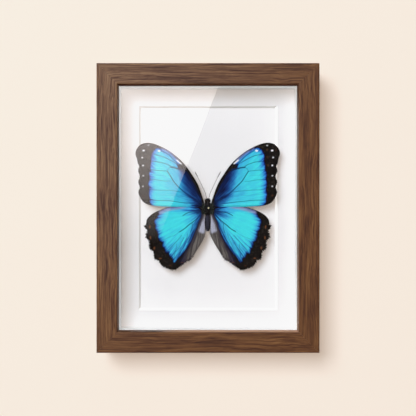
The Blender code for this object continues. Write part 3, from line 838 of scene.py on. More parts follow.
HIND_MARKS = [
    (45.6, -13.5, 0.55, 1.4, 1.0), (45.2, -22.0, 0.55, 1.35, 1.0), (42.2, -30.2, 0.7, 1.2, 0.9),
    (37.3, -38.3, 1.15, 0.55, 0.85), (20.0, -41.6, 1.2, 0.5, 0.4), (29.5, -44.0, 1.0, 0.45, 0.35),
]
LILAC_BAND = [(14.0, 2.4), (19.0, 2.2), (25.0, 1.4), (29.7, 0.4), (34.0, -1.0), (38.2, -2.8)]
PALE_PATCH = [
    (2.6, -4.6), (3.4, -6.4), (4.8, -10.0), (6.3, -13.4), (7.1, -16.2), (6.4, -17.6), (4.9, -18.3),
    (2.4, -18.1), (1.7, -12.0),
]


def hindwing_marks(points):
    """As on the forewing, with a black margin on one side and an ashen fold beside the abdomen."""
    x, z = points.T
    border = inside_curve(points, HIND_BLUE_EDGE + HIND_BLUE_INNER[1:] + HIND_BLUE_TOP)
    from_edge = from_curve(points, HIND_BLUE_EDGE)
    from_inner = from_curve(points, HIND_BLUE_INNER)
    fade = [0.14, 0.34, 0.54, 0.74, 0.92, 1.0]
    near_margin = np.interp(from_edge, [0, 0.5, 1.2, 2.2, 4.0, 6.0], fade)
    near_fold = np.interp(from_inner, [0, 0.8, 2.0, 4.0, 8.0], [0.26, 0.44, 0.6, 0.78, 1.0])
    # The divisor darkens the top of the hindwing near the body: painted shadow of the forewing, over the
    # root's own darker blue.
    away = np.hypot(x - 3, (z + 1) * 0.85) / (1 + 0.6 * rise(z, -4.5, 0.5))
    near_body = np.interp(away, [1, 3, 6, 10, 15, 20], [0.12, 0.34, 0.52, 0.74, 0.92, 1.0])
    lower = np.interp(z, [-42, -36, -28, -18], [0.66, 0.72, 0.84, 1.0])
    blue = least(near_margin, near_fold, near_body, lower) * rise(border, -0.5, 0.5)
    fold_line = np.interp(z, [-41, -36, -29.5, -21, -9, -4], [25, 19.4, 15.4, 11.3, 7.0, 5.0])
    ash = np.interp(fold_line - x, [-0.6, 0.6, 1.8, 3.2, 6.5], [0.0, 0.28, 0.5, 0.78, 0.9])
    ash = ash * rise(z, -48, -35) * rise(z, -1.0, -5.0)
    ash = ash * (1 - 0.7 * rise(x, 15.0, 24.0) * rise(z, -30, -38))
    band = from_curve(points, LILAC_BAND)
    lilac = 0.8 * rise(band, 3.0, 0.4) * rise(x, 11, 22) * rise(x, 40.5, 37.0)
    violet = np.interp(from_edge, [0, 1.0, 2.5, 4.5], [0.5, 0.45, 0.2, 0.0])
    violet = np.maximum(violet * np.interp(z, [-26, -10], [0.3, 1.0]), 0.5 * rise(band, 4.5, 2.0))
    return {
        "blue": blue,
        "vein": strongest_of(points, HIND_VEINS) * rise(border, -0.5, 0.8),
        "white": np.zeros(len(points)),
        "lilac": lilac,
        "violet": violet,
        "pale": rise(inside_curve(points, PALE_PATCH), -1.4, 2.0),
        "rust": spotted(points, HIND_MARKS),
        "ash": ash,
        "streak": np.maximum(
            np.interp(z, [-38, -26, -12], [0.42, 0.38, 0.16]),
            np.interp(from_edge, [0, 1.5, 4.0, 7.0], [0.55, 0.45, 0.2, 0.0]),
        ),
    }


print("hindwing:", len(HIND_VEINS), "veins and", len(HIND_MARKS), "rust marks")

# %% [markdown]
# ## Wing colour
# The blue of these wings isn't a dye. Ridges on each scale mirror one colour, which deepens from
# cyan through blue to the black ground where the scales grow thin. One ramp holds that whole walk,
# a second holds the more violet walk of the margins, and the number that the functions above worked
# out picks the place on both. Rows of scales run along the rays of the wing, so the noise that
# breaks up the colour is squeezed in the attribute "fan", which holds the angle about the root and
# the distance from it. The rays are broad near the root and fine further out.

# %% Wing finish
MARKS = ("blue", "streak", "vein", "white", "lilac", "violet", "pale", "rust", "ash", "under")
FINE_SQUEEZE = (3.4, 2.2, 1)
BROAD_SQUEEZE = (0.36, 0.7, 1)

wing_group, given, wanted = new_group(
    "WingScales",
    {"Fan": "Vector", "Place": "Vector", **{mark.capitalize(): "Float" for mark in MARKS}},
    {"Color": "Color", "Roughness": "Float", "Height": "Float"},
)
g = wing_group
rays = noise(g, given["Fan"], 1.0, 4.0, 0.6)
fine_rays = noise(g, stretched(g, given["Fan"], FINE_SQUEEZE), 1.0, 3.0, 0.6)
broad_rays = noise(g, stretched(g, given["Fan"], BROAD_SQUEEZE), 1.0, 3.0, 0.6)
clouds = noise(g, given["Place"], 180.0, 3.0)
scales = noise(g, given["Place"], 2600.0, 2.0, 0.7)
flecks = noise(g, given["Place"], 760.0, 4.0, 0.7)

# The place on the two ramps: the painted blue, and what the rays and the scales change in it.
both_rays = plus(g, rays, times(g, fine_rays, 0.6))
rayed = times(g, swing(g, both_rays, given["Streak"], 0.8), 3.0)
reach = add(g, "ShaderNodeSeparateXYZ", {0: given["Fan"]}).outputs["Y"]
near_root = soft_step(g, reach, 1.15, 0.45, 0.0, 1.3)
rayed = plus(g, rayed, swing(g, broad_rays, near_root))
change = plus(g, plus(g, rayed, swing(g, clouds, 0.22)), swing(g, scales, 0.16))
strength = plus(g, given["Blue"], times(g, change, soft_step(g, given["Blue"], 0.05, 0.3)))
cyan = ramp(
    g,
    strength,
    (0.0, srgb(17, 12, 10)),
    (0.12, srgb(11, 12, 28)),
    (0.24, srgb(12, 26, 72)),
    (0.38, srgb(22, 56, 116)),
    (0.5, srgb(32, 90, 154)),
    (0.62, srgb(44, 128, 188)),
    (0.74, srgb(60, 172, 218)),
    (0.87, srgb(66, 202, 230)),
    (1.0, srgb(70, 226, 234)),
)
violet = ramp(
    g,
    strength,
    (0.0, srgb(17, 12, 10)),
    (0.14, srgb(14, 18, 66)),
    (0.3, srgb(24, 56, 142)),
    (0.5, srgb(42, 108, 204)),
    (0.72, srgb(58, 158, 232)),
    (1.0, srgb(66, 202, 232)),
)
scaly = mixed(g, given["Violet"], cyan, violet)
dusted = times(g, soft_step(g, flecks, 0.5, 0.72), soft_step(g, given["Blue"], 0.08, 0.0))
ground = mixed(g, dusted, scaly, srgb(56, 49, 43))

# The marks lie over it one by one: veins, ashen fold, lilac edge, pale patch, rust and white.
vein_color = mixed(g, 0.92, ground, srgb(9, 38, 80))
color = mixed(g, soft_step(g, given["Vein"], 0.04, 0.98), ground, vein_color)
ash_color = ramp(
    g,
    plus(g, given["Ash"], swing(g, both_rays, 1.5, 0.8)),
    (0.1, srgb(26, 24, 44)),
    (0.4, srgb(58, 52, 64)),
    (0.6, srgb(64, 57, 58)),
    (0.85, srgb(82, 77, 75)),
    (1.0, srgb(112, 106, 102)),
)
color = mixed(g, soft_step(g, given["Ash"], 0.02, 0.3), color, ash_color)
thinned = soft_step(g, plus(g, given["Lilac"], swing(g, fine_rays, 1.2)), 0.1, 0.8)
lilac_color = ramp(g, rays, (0.35, srgb(104, 126, 180)), (0.6, srgb(154, 154, 192)))
color = mixed(g, times(g, given["Lilac"], thinned), color, lilac_color)
frayed = times(g, swing(g, fine_rays, soft_step(g, given["Pale"], 0.0, 0.3)), 1.6)
patch = soft_step(g, plus(g, given["Pale"], frayed), 0.0, 1.0)
pale_color = ramp(g, fine_rays, (0.35, srgb(150, 152, 172)), (0.6, srgb(192, 194, 212)))
color = mixed(g, patch, color, pale_color)
color = mixed(g, given["Rust"], color, srgb(112, 70, 44))
color = mixed(g, given["White"], color, srgb(244, 244, 250))
brown = ramp(g, clouds, (0.35, srgb(58, 42, 32)), (0.65, srgb(104, 82, 64)))
g.links.new(mixed(g, given["Under"], color, brown), wanted["Color"])
g.links.new(soft_step(g, strength, 0.1, 0.7, 0.72, 0.5), wanted["Roughness"])
g.links.new(plus(g, scales, times(g, fine_rays, 0.8)), wanted["Height"])

wing_skin, tree, shader = new_material(
    "iridescent_wing",
    {"Roughness": 0.6, "Specular IOR Level": 0.03},
)
feeds = {mark.capitalize(): attribute(tree, mark) for mark in MARKS}
feeds["Fan"] = attribute(tree, "fan", "Vector")
feeds["Place"] = object_place(tree)
scaled = use_group(tree, wing_group, feeds)
normal = bump(tree, scaled["Height"], 0.35, 0.04 * MM)
feed(tree, shader, {"Base Color": scaled["Color"], "Roughness": scaled["Roughness"], "Normal": normal})
print("wing finish:", len(wing_group.nodes), "nodes")

# %% [markdown]
# ## The wings' shape
# A wing is a closed blade. Its front is the surface P(u, v) = C + (M(v) - C) f(u), where M(v) runs
# once round the margin, C is a point in the middle that can see all of it, and f(u) crowds the
# rings towards the margin. Each point is then lifted towards the glass by the wing's relief: a
# slow arch, a soft pillow between the veins, and a ridge on each vein. The back is the same surface
# a scale's depth behind, and both meet in a thin rim.

# %% Wing shape
# Measures of the wings are in millimetres.
WING_COLUMNS = 520
WING_RINGS = 80
RIM_THICKNESS = 0.05
WING_THICKNESS = 0.26
PILLOW_HEIGHT, PILLOW_REACH = 0.16, 1.6
RIDGE_HEIGHT = 0.10
RIPPLE_HEIGHT, RIPPLES_PER_RADIAN = 0.05, 46
WOBBLE = 0.12
RAYS_PER_RADIAN = 24
RAY_STRETCH = 0.055


def middle_of(node):
    low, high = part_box(node)
    return [(a + b) / 2 for a, b in zip(low, high)]


BODY_X, BODY_Y, _ = middle_of("butterfly_body")
BODY_Z = MIDDLE_Z - 1.3 * MM
FOREWING_Y = middle_of("forewing_right")[1]
HINDWING_Y = middle_of("hindwing_right")[1]


def toothed(margin, station, teeth, seed):
    """The margin pushed out and in along its own normal, by small uneven teeth on its outer part.

    teeth is (first point, last point, height, pitch): where along the outline they run, in steps
    of its points, and their size in mm.
    """
    first, last, height, pitch = teeth
    step = np.roll(margin, -1, 0) - np.roll(margin, 1, 0)
    outwards = unit(np.stack([-step[:, 1], step[:, 0]], -1))
    length = np.cumsum(np.linalg.norm(np.diff(margin, axis=0, prepend=margin[:1]), axis=1))
    turn = 2 * math.pi * length / pitch
    wave = np.abs(np.sin(turn / 2 + seed + 0.8 * np.sin(turn * 0.23))) - 0.55
    wave = wave + 0.35 * np.sin(turn * 1.7 + 2 * seed)
    reach = height * rise(station, first, first + 1) * rise(station, last, last - 1)
    return margin + outwards * (reach * wave)[:, None]


def blade(name, node, side, y, outline, middle, root, marks, veins, teeth, arch, seed):
    """One wing: rings from the middle point out to the toothed margin, front and back.

    Its points crowd together along the margin far from the root, where the teeth are.
    """
    per_span = 24
    dense = through(outline, per_span, closed=True)
    station = np.arange(len(dense))[:, None] / per_span
    far = np.linalg.norm(dense - np.array(root), axis=1)
    weight = 0.45 + (far / far.max()) ** 2
    line = spaced(np.hstack([dense, station]), WING_COLUMNS + 1, weight)[:-1]
    margin = toothed(line[:, :2], line[:, 2], teeth, seed)

    share = 1 - (1 - np.linspace(0, 1, WING_RINGS + 1)[1:]) ** 1.3
    flat = np.array(middle) + share[:, None, None] * (margin - np.array(middle))
    flat = np.vstack([flat.reshape(-1, 2), [middle]])
    x, z = flat.T
    wobble = np.stack([np.sin(z / 3.1 + seed) + np.sin(z / 1.3), np.cos(x / 2.7 + seed)], -1)
    values = marks(flat + wobble * WOBBLE)

    inside = np.append(np.repeat(1 - share, WING_COLUMNS), 1.0)
    ridge = strongest_of(flat, [(width * 0.9, 1.0, points) for width, strength, points in veins])
    from_vein = np.full(len(flat), np.inf)
    for width, strength, points in veins:
        from_vein = np.minimum(from_vein, distance_to(flat, through(points, 4)))
    angle = np.arctan2(z - root[1], x - root[0])
    reach = np.hypot(x - root[0], z - root[1])
    settle = rise(inside, 0.0, 0.08)
    ripple = np.sin(angle * RIPPLES_PER_RADIAN + seed) * rise(reach, 4, 14)
    relief = arch * np.sin(np.clip(reach / far.max(), 0, 1) * math.pi)
    relief = relief + PILLOW_HEIGHT * (1 - np.exp(-from_vein / PILLOW_REACH))
    relief = (relief + RIDGE_HEIGHT * ridge + RIPPLE_HEIGHT * ripple) * settle
    thick = np.interp(inside, [0, 0.05], [RIM_THICKNESS, WING_THICKNESS])

    world_x = BODY_X + side * x * MM
    world_z = BODY_Z + z * MM
    front = np.stack([world_x, y - (relief + thick / 2) * MM, world_z], -1)
    back = np.stack([world_x, y - (relief - thick / 2) * MM, world_z], -1)
    count = len(flat)
    last_ring = np.arange(WING_COLUMNS) + WING_COLUMNS * (WING_RINGS - 1)
    sheet = grid_faces(WING_RINGS, WING_COLUMNS, wrap_columns=True)
    first_ring = np.arange(WING_COLUMNS)
    after = np.roll(last_ring, -1)
    rim = np.stack([last_ring, last_ring + count, after + count, after], -1)
    quads = np.vstack([sheet, sheet[:, ::-1] + count, rim])
    tips = np.vstack([
        fan_faces(first_ring, count - 1, turned=True),
        fan_faces(first_ring + count, 2 * count - 1),
    ])
    doubled = {key: np.tile(value, 2) for key, value in values.items()}
    doubled["under"] = np.repeat([0.0, 1.0], count)
    fan = [angle * RAYS_PER_RADIAN + seed * 7, reach * RAY_STRETCH, np.full(count, float(seed))]
    doubled["fan"] = np.tile(np.stack(fan, -1), (2, 1))
    points = np.vstack([front, back])
    return install(build(name, points, [quads, tips], wing_skin, doubled, sharp_from=60), "wing", node)


# %% Wings
FORE_TEETH = (9.5, 20.5, 0.24, 1.9)
HIND_TEETH = (6.5, 22.5, 1.05, 1.9)
FORE_ARCH, HIND_ARCH = 0.55, 0.25
FORE_MIDDLE, FORE_ROOT = (25, 20), (3.0, 4.0)
HIND_MIDDLE, HIND_ROOT = (24, -20), (3.5, -1.0)
for side_name, side, seed in (("right", 1, 1.3), ("left", -1, 3.9)):
    blade(
        "blue_hindwing_" + side_name, "hindwing_" + side_name, side, HINDWING_Y, HINDWING_OUTLINE,
        HIND_MIDDLE, HIND_ROOT, hindwing_marks, HIND_VEINS, HIND_TEETH, HIND_ARCH, seed,
    )
    blade(
        "blue_forewing_" + side_name, "forewing_" + side_name, side, FOREWING_Y, FOREWING_OUTLINE,
        FORE_MIDDLE, FORE_ROOT, forewing_marks, FORE_VEINS, FORE_TEETH, FORE_ARCH, seed + 0.7,
    )

# %% [markdown]
# ## The body
# Head, thorax and abdomen are one turned form: a profile of radius against height, carried round
# the axis. The abdomen's rings are shallow grooves in that profile, and the cross-section is a
# little flatter than a circle. The eyes are two bulges of the head, added to the same surface.

# %% Body finish
body_skin, tree, shader = new_material("dry_body", {"Roughness": 0.6, "Specular IOR Level": 0.15})
place = object_place(tree)
mottle = noise(tree, place, 900.0, 3.0)
rings = attribute(tree, "ring")
dark = ramp(tree, mottle, (0.35, srgb(8, 6, 6)), (0.65, srgb(22, 16, 17)))
slate = mixed(tree, mottle, srgb(26, 26, 36), srgb(54, 52, 66))
bellied = mixed(tree, attribute(tree, "belly"), dark, slate)
ringed = mixed(tree, times(tree, rings, 0.6), bellied, srgb(14, 11, 14))
eye = attribute(tree, "eye")
glossy = mixed(tree, eye, ringed, srgb(20, 12, 8))
normal = bump(tree, noise(tree, place, 3000.0, 3.0), 0.4, 0.05 * MM)
rough = soft_step(tree, eye, 0.2, 0.8, 0.62, 0.25)
feed(tree, shader, {"Base Color": glossy, "Roughness": rough, "Normal": normal})

# %% Body
# The trunk's profile from the head down: height and radius in mm.
BODY_PROFILE = [
    (9.0, 0.0), (8.9, 0.75), (8.3, 1.5), (7.2, 1.85), (6.0, 1.7), (5.2, 1.75), (4.4, 2.35), (3.2, 3.0),
    (1.2, 3.35), (-1.0, 3.2), (-2.8, 2.65), (-4.0, 2.0), (-4.8, 1.85), (-7.0, 2.1), (-10.0, 2.15),
    (-13.0, 2.0), (-15.4, 1.6), (-16.7, 1.0), (-17.1, 0.0),
]
BODY_RINGS = 150
BODY_SIDES = 64
BODY_FLATNESS = 0.94
WAIST = -4.4
GROOVE_PITCH = 1.75
GROOVE_DEPTH = 0.05
EYE_TURN = math.radians(62)
EYE_HEIGHT = 7.0
EYE_BULGE = 0.45


def body_surface(profile, rings, sides):
    """P(s, a): height from the profile, and radius times (cos a, f sin a), f the flatness."""
    line = spaced(through(profile, 12), rings)
    height, radius = line[:, 0], np.clip(line[:, 1], 0.0, None)
    groove = np.abs(np.sin(math.pi * (height + 4.6) / GROOVE_PITCH)) < 0.16
    groove = np.where(height < WAIST, groove, 0.0)
    angle = turns(sides)
    radius = (radius * (1 - GROOVE_DEPTH * groove))[:, None]
    height = np.broadcast_to(height[:, None], (rings, sides))
    eye = np.zeros((rings, sides))
    for hand in (-1, 1):
        facing = np.cos(angle - (math.pi / 2 - hand * EYE_TURN))[None, :]
        eye = np.maximum(eye, rise(facing, 0.45, 0.85) * rise(np.abs(height - EYE_HEIGHT), 1.5, 0.9))
    radius = radius + EYE_BULGE * eye
    x = radius * np.cos(angle)
    y = -BODY_FLATNESS * radius * np.sin(angle)
    values = {
        "ring": np.repeat(groove, sides),
        "belly": rise(height, -3.5, -5.0).ravel(),
        "eye": eye.ravel(),
    }
    return np.stack([x, y, height], -1).reshape(-1, 3), values


points, values = body_surface(BODY_PROFILE, BODY_RINGS, BODY_SIDES)
points = points * MM + [BODY_X, BODY_Y, BODY_Z]
faces = [grid_faces(BODY_RINGS, BODY_SIDES, wrap_columns=True)]
install(build("butterfly_trunk", points, faces, body_skin, values), "body", "butterfly_body")

# %% [markdown]
# ## Hair
# Thorax, head and wing roots are furred. Each hair is a thin three-sided spike along a short arc:
# its line is root + s t + s^2 b, where t is its direction and b bends it back, and its thickness
# runs out to nothing. All hairs are worked out at once as one array, so thousands cost no time.

# %% Fur
fur_skin, tree, shader = new_material("fur", {"Roughness": 0.65, "Specular IOR Level": 0.1})
tuft = attribute(tree, "tuft")
fur_mottle = noise(tree, object_place(tree), 1500.0, 2.0)
base = ramp(tree, fur_mottle, (0.35, srgb(7, 5, 6)), (0.65, srgb(22, 18, 18)))
feed(tree, shader, {"Base Color": mixed(tree, tuft, base, srgb(96, 106, 96))})

HAIR_STATIONS = 4
HAIR_SIDES = 3
HAIR_RADIUS = 0.035


def hairs(roots, directions, bends, lengths, radius, tuft):
    """All hairs as one set of points and faces: triangles carried along each hair's own arc."""
    count = len(roots)
    s = np.linspace(0, 1, HAIR_STATIONS)[None, :, None]
    lengths = lengths[:, None, None]
    spine = roots[:, None] + lengths * (s * directions[:, None] + s**2 * bends[:, None])
    side = unit(np.cross(directions, [0.31, 0.87, 0.38]))
    other = np.cross(directions, side)
    angle = turns(HAIR_SIDES)
    ring = side[:, None] * np.cos(angle)[:, None] + other[:, None] * np.sin(angle)[:, None]
    taper = radius * (1 - 0.85 * s[..., None] ** 1.5)
    points = spine[:, :, None] + taper * ring[:, None]
    one = grid_faces(HAIR_STATIONS, HAIR_SIDES, wrap_columns=True)
    per_hair = HAIR_STATIONS * HAIR_SIDES
    first = np.arange(count)[:, None, None] * per_hair
    ends = np.array([[2, 1, 0], [per_hair - 3, per_hair - 2, per_hair - 1]])
    faces = [(one + first).reshape(-1, 4), (ends + first).reshape(-1, 3)]
    return points.reshape(-1, 3), faces, np.repeat(tuft, per_hair)


def coat(seed):
    """Hairs on the body and over the wing roots: roots, directions, bends, lengths and tuft."""
    rng = np.random.default_rng(seed)
    line = spaced(through(BODY_PROFILE, 12), 400)

    def on_body(count, top, bottom, shortest, longest, lean):
        height = rng.uniform(bottom, top, count)
        radius = np.interp(-height, -line[:, 0], line[:, 1]) * 0.97
        angle = rng.uniform(0, math.pi, count)
        out = np.stack([np.cos(angle), -BODY_FLATNESS * np.sin(angle), np.zeros(count)], -1)
        root = out * radius[:, None] + np.stack([np.zeros(count), np.zeros(count), height], -1)
        way = out * 0.75 + rng.normal(0, 0.28, (count, 3)) + [0, 0, lean]
        bend = [rng.normal(0, 0.2, count), rng.uniform(0.0, 0.3, count), np.full(count, lean)]
        bend = np.stack(bend, -1)
        return root, way, bend, rng.uniform(shortest, longest, count), np.zeros(count)

    def on_wing_root(count, hand):
        height = rng.uniform(-3.0, 4.6, count)
        start = rng.uniform(1.6, 3.9, count)
        root = np.stack([hand * start, np.interp(start, [1.6, 4.4], [-2.6, -2.1]), height], -1)
        spread = (height - 0.6) * 0.16
        way = [hand * rng.uniform(0.6, 1.0, count), rng.uniform(-0.45, -0.1, count), spread]
        way = np.stack(way, -1) + rng.normal(0, 0.16, (count, 3))
        bend = [np.zeros(count), rng.uniform(0.1, 0.45, count), rng.normal(0, 0.2, count)]
        bend = np.stack(bend, -1)
        pale = rng.uniform(0, 1, count) ** 3
        return root, way, bend, rng.uniform(0.8, 2.2, count), pale

    parts = [
        on_body(2300, 4.6, -3.8, 0.5, 1.3, -0.25),
        on_body(700, 8.8, 4.6, 0.35, 0.8, 0.15),
        on_body(800, -3.8, -16.6, 0.25, 0.6, -0.5),
        on_wing_root(750, 1),
        on_wing_root(750, -1),
    ]
    return [np.concatenate(column) for column in zip(*parts)]


roots, ways, bends, lengths, tufts = coat(11)
points, faces, tuft_values = hairs(roots, unit(ways), bends, lengths, HAIR_RADIUS, tufts)
points = points * MM + [BODY_X, BODY_Y, BODY_Z]
install(build("butterfly_fur", points, faces, fur_skin, {"tuft": tuft_values}), "body")

# %% [markdown]
# ## Antennae and pin
# Both are a circle carried along a line. The antenna's radius swells to a slim club near its end,
# and the pin's profile is turned about its straight shaft: a round head, the shaft and its point.

# %% Antennae
constants = {"Roughness": 0.5, "Specular IOR Level": 0.2}
antenna_skin, tree, shader = new_material("antenna_skin", constants)
speckle = noise(tree, object_place(tree), 2500.0, 2.0)
chestnut = ramp(tree, speckle, (0.35, srgb(48, 30, 22)), (0.65, srgb(96, 68, 52)))
feed(tree, shader, {"Base Color": chestnut})

ANTENNA_LINE = [
    (0.9, 9.0, 1.6), (2.0, 13.2, 0.9), (3.7, 16.9, 1.1), (5.5, 20.7, 1.5), (7.3, 24.4, 1.8),
    (8.7, 27.2, 2.0), (9.5, 28.7, 2.1), (10.2, 30.0, 2.2),
]
ANTENNA_RADIUS = 0.13
ANTENNA_CLUB = 0.3
ANTENNA_SEGMENTS = 38
ANTENNA_STATIONS = 120
ANTENNA_SIDES = 12


def tube(line, radii, sides):
    """A circle carried along a line, at right angles to it: side and up vectors span each ring."""
    ahead = unit(np.gradient(line, axis=0))
    side = unit(np.cross(ahead, [0.0, 1.0, 0.0]))
    up = np.cross(side, ahead)
    angle = turns(sides)[None, :, None]
    ring = side[:, None] * np.cos(angle) + up[:, None] * np.sin(angle)
    return (line[:, None] + radii[:, None, None] * ring).reshape(-1, 3)


share = np.linspace(0, 1, ANTENNA_STATIONS)
club = ANTENNA_CLUB / ANTENNA_RADIUS
swell = np.interp(share, [0, 0.72, 0.9, 0.97, 1.0], [1, 1, club, 1.6, 0.3])
segments = 1 + 0.08 * np.sin(share * 2 * math.pi * ANTENNA_SEGMENTS)
radii = ANTENNA_RADIUS * swell * segments * MM
for side_name, side in (("right", 1), ("left", -1)):
    line = spaced(through(ANTENNA_LINE, 12), ANTENNA_STATIONS) * [side, 1, 1]
    spine = np.stack([line[:, 0], -line[:, 2], line[:, 1]], -1) * MM
    points = tube(spine, radii, ANTENNA_SIDES) + [BODY_X, FOREWING_Y, BODY_Z]
    size = (ANTENNA_STATIONS, ANTENNA_SIDES)
    faces = [grid_faces(*size, wrap_columns=True), end_faces(*size)[:, ::-1]]
    obj = build("clubbed_antenna_" + side_name, points, faces, antenna_skin)
    install(obj, "body", "antenna_" + side_name)

# %% Pin
brass, tree, shader = new_material("lacquered_brass", {"Metallic": 1.0, "Roughness": 0.28})
tone = noise(tree, object_place(tree), 2500.0, 2.0)
gold = mixed(tree, tone, srgb(226, 204, 150), srgb(244, 230, 190))
feed(tree, shader, {"Base Color": gold, "Roughness": soft_step(tree, tone, 0.3, 0.7, 0.22, 0.4)})

PIN_RADIUS = 0.25 * MM
PIN_HEAD = 0.7 * MM
PIN_POINT = 2.0 * MM
PIN_TIP = 0.02 * MM
PIN_SIDES = 28
pin_x, _, pin_z = middle_of("insect_pin")
pin_low, pin_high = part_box("insect_pin")
pin_length = pin_high[1] - pin_low[1]
ball = arc((PIN_HEAD, 0), PIN_HEAD, 180, 20, 18)
shaft = [(PIN_HEAD * 2.05, PIN_RADIUS), (pin_length - PIN_POINT, PIN_RADIUS)]
pin_profile = np.vstack([ball, shaft, [(pin_length, PIN_TIP)]])
angle = turns(PIN_SIDES)
radii = np.abs(pin_profile[:, 1])[:, None]
x = pin_x + radii * np.cos(angle)
y = np.broadcast_to(pin_low[1] + pin_profile[:, :1], x.shape)
z = pin_z + radii * np.sin(angle)
points = np.stack([x, y, z], -1).reshape(-1, 3)
faces = [grid_faces(len(pin_profile), PIN_SIDES, wrap_columns=True)]
install(build("setting_pin", points, faces, brass, sharp_from=50), "pin", "insect_pin")

# %% [markdown]
# ## The back of the frame
# Behind, a sheet of brown fibreboard is held by eight steel points, and a sawtooth hanger is riveted
# to it. The steel is punched sheet, so its edges are rolled over a little: a copy of each packed
# shape, with its flat faces made whole again, takes a small Bevel.

# %% Fibreboard and steel
fibreboard, tree, shader = new_material("fibreboard", {"Roughness": 0.85, "Specular IOR Level": 0.2})
place = object_place(tree)
strands = noise(tree, stretched(tree, place, (900, 900, 330)), 1.0, 4.0, 0.65)
patches = noise(tree, place, 60.0, 2.0)
brown = ramp(
    tree,
    strands,
    (0.3, srgb(112, 84, 58)),
    (0.5, srgb(146, 114, 82)),
    (0.72, srgb(178, 146, 110)),
)
aged = mixed(tree, times(tree, patches, 0.35), brown, srgb(120, 90, 62))
feed(tree, shader, {"Base Color": aged, "Normal": bump(tree, strands, 0.5, 0.06 * MM)})
dress(fibreboard, "back_panel")

zinc, tree, shader = new_material("zinc_plate", {"Metallic": 1.0, "Roughness": 0.35})
place = object_place(tree)
brushed = noise(tree, stretched(tree, place, (400, 3000, 3000)), 1.0, 3.0)
spangle = noise(tree, place, 700.0, 2.0)
steel_color = mixed(tree, spangle, srgb(168, 168, 166), srgb(206, 207, 208))
rough = soft_step(tree, plus(tree, brushed, times(tree, spangle, 0.5)), 0.5, 1.0, 0.26, 0.5)
normal = bump(tree, brushed, 0.2, 0.02 * MM)
feed(tree, shader, {"Base Color": steel_color, "Roughness": rough, "Normal": normal})


EDGE_ROUND = 0.12 * MM


def eased_steel(name, node):
    """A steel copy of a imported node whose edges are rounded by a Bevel."""
    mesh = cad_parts[node].data.copy()
    bm = bmesh.new()
    bm.from_mesh(mesh)
    bmesh.ops.remove_doubles(bm, verts=bm.verts, dist=1e-6)
    bmesh.ops.dissolve_limit(bm, angle_limit=math.radians(1), verts=bm.verts, edges=bm.edges)
    bm.to_mesh(mesh)
    bm.free()
    mesh.materials.clear()
    mesh.materials.append(zinc)
    obj = new_object(name, mesh)
    bevel = obj.modifiers.new("rolled_edge", "BEVEL")
    bevel.width = EDGE_ROUND
    bevel.segments = 3
    bevel.limit_method = "ANGLE"
    bevel.angle_limit = math.radians(25)
    return install(obj, "steel", node)


for node in sorted(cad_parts):
    if node.startswith("point_"):
        eased_steel("steel_" + node, node)
eased_steel("toothed_hanger", "sawtooth_hanger")
rivets = ("hanger_rivet_left", "hanger_rivet_right")
dress(zinc, *rivets)
for node in rivets:
    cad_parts[node].data.shade_smooth()

# %% [markdown]
# ## The room
# The frame hangs on a pale warm wall above a pale floor. The wall is seen only from its front, so
# the back of the frame can be looked at too, and it glows a little with the light that the rest of
# a room would send to it. One large soft window stands up and to the left: its slant throws the
# frame's shadow down and right on the wall, and the lip's shadow over the mat.

# %% Wall and floor
WALL_GAP = 0.2 * MM
ROOM = 3.0
FLOOR_DROP = 0.5
ROOM_GLOW = 0.14
wall_paint, tree, shader = new_material(
    "wall_paint",
    {
        "Roughness": 0.9,
        "Specular IOR Level": 0.1,
        "Emission Color": srgb(247, 232, 218),
        "Emission Strength": ROOM_GLOW,
    },
)
tone = noise(tree, object_place(tree), 25.0, 2.0)
feed(tree, shader, {"Base Color": mixed(tree, tone, srgb(232, 219, 206), srgb(233, 220, 207))})
see_through = add(tree, "ShaderNodeBsdfTransparent").outputs[0]
behind = add(tree, "ShaderNodeNewGeometry").outputs["Backfacing"]
one_sided = add(tree, "ShaderNodeMixShader", {0: behind, 1: shader.outputs[0], 2: see_through})
tree.links.new(one_sided.outputs[0], tree.nodes["Material Output"].inputs["Surface"])

floor_paint, tree, shader = new_material("floor_paint", {"Roughness": 0.8, "Specular IOR Level": 0.1})
tone = noise(tree, object_place(tree), 12.0, 2.0)
feed(tree, shader, {"Base Color": mixed(tree, tone, srgb(232, 226, 220), srgb(236, 230, 224))})


def stage_sheet(name, corners, material):
    """One flat face of the surroundings, which belongs to the stage and not to the object."""
    mesh = bpy.data.meshes.new(name)
    mesh.from_pydata(corners, [], [(0, 1, 2, 3)])
    mesh.materials.append(material)
    obj = new_object(name, mesh)
    return obj


wall_y = HIGH[1] + WALL_GAP
floor_z = LOW[2] - FLOOR_DROP
square = [(-ROOM, -ROOM), (ROOM, -ROOM), (ROOM, ROOM), (-ROOM, ROOM)]
wall_corners = [(x, wall_y, max(z, floor_z)) for x, z in square]
wall = stage_sheet("wall", wall_corners, wall_paint)
wall.visible_shadow = False
wall.visible_diffuse = False
wall.visible_glossy = False
floor_corners = [(x, y, floor_z) for x, y in square]
stage_sheet("floor", floor_corners, floor_paint).visible_diffuse = False
print(f"wall {WALL_GAP / MM} mm behind the frame, floor {FLOOR_DROP} m under it")

# %% Light
KEY_WAY = Vector((-0.37, -1.0, 0.42)).normalized()
KEY_DISTANCE = 6.0
KEY_SIZE = 2.8
KEY_SHARE = (0.56, 0.625, 0.69)
FILL_DISTANCE = 3.0
FILL_SIZE = 0.7
FILL_SHARE = (0.45, 0.385, 0.335)
middle = Vector((0.0, 0.0, MIDDLE_Z))


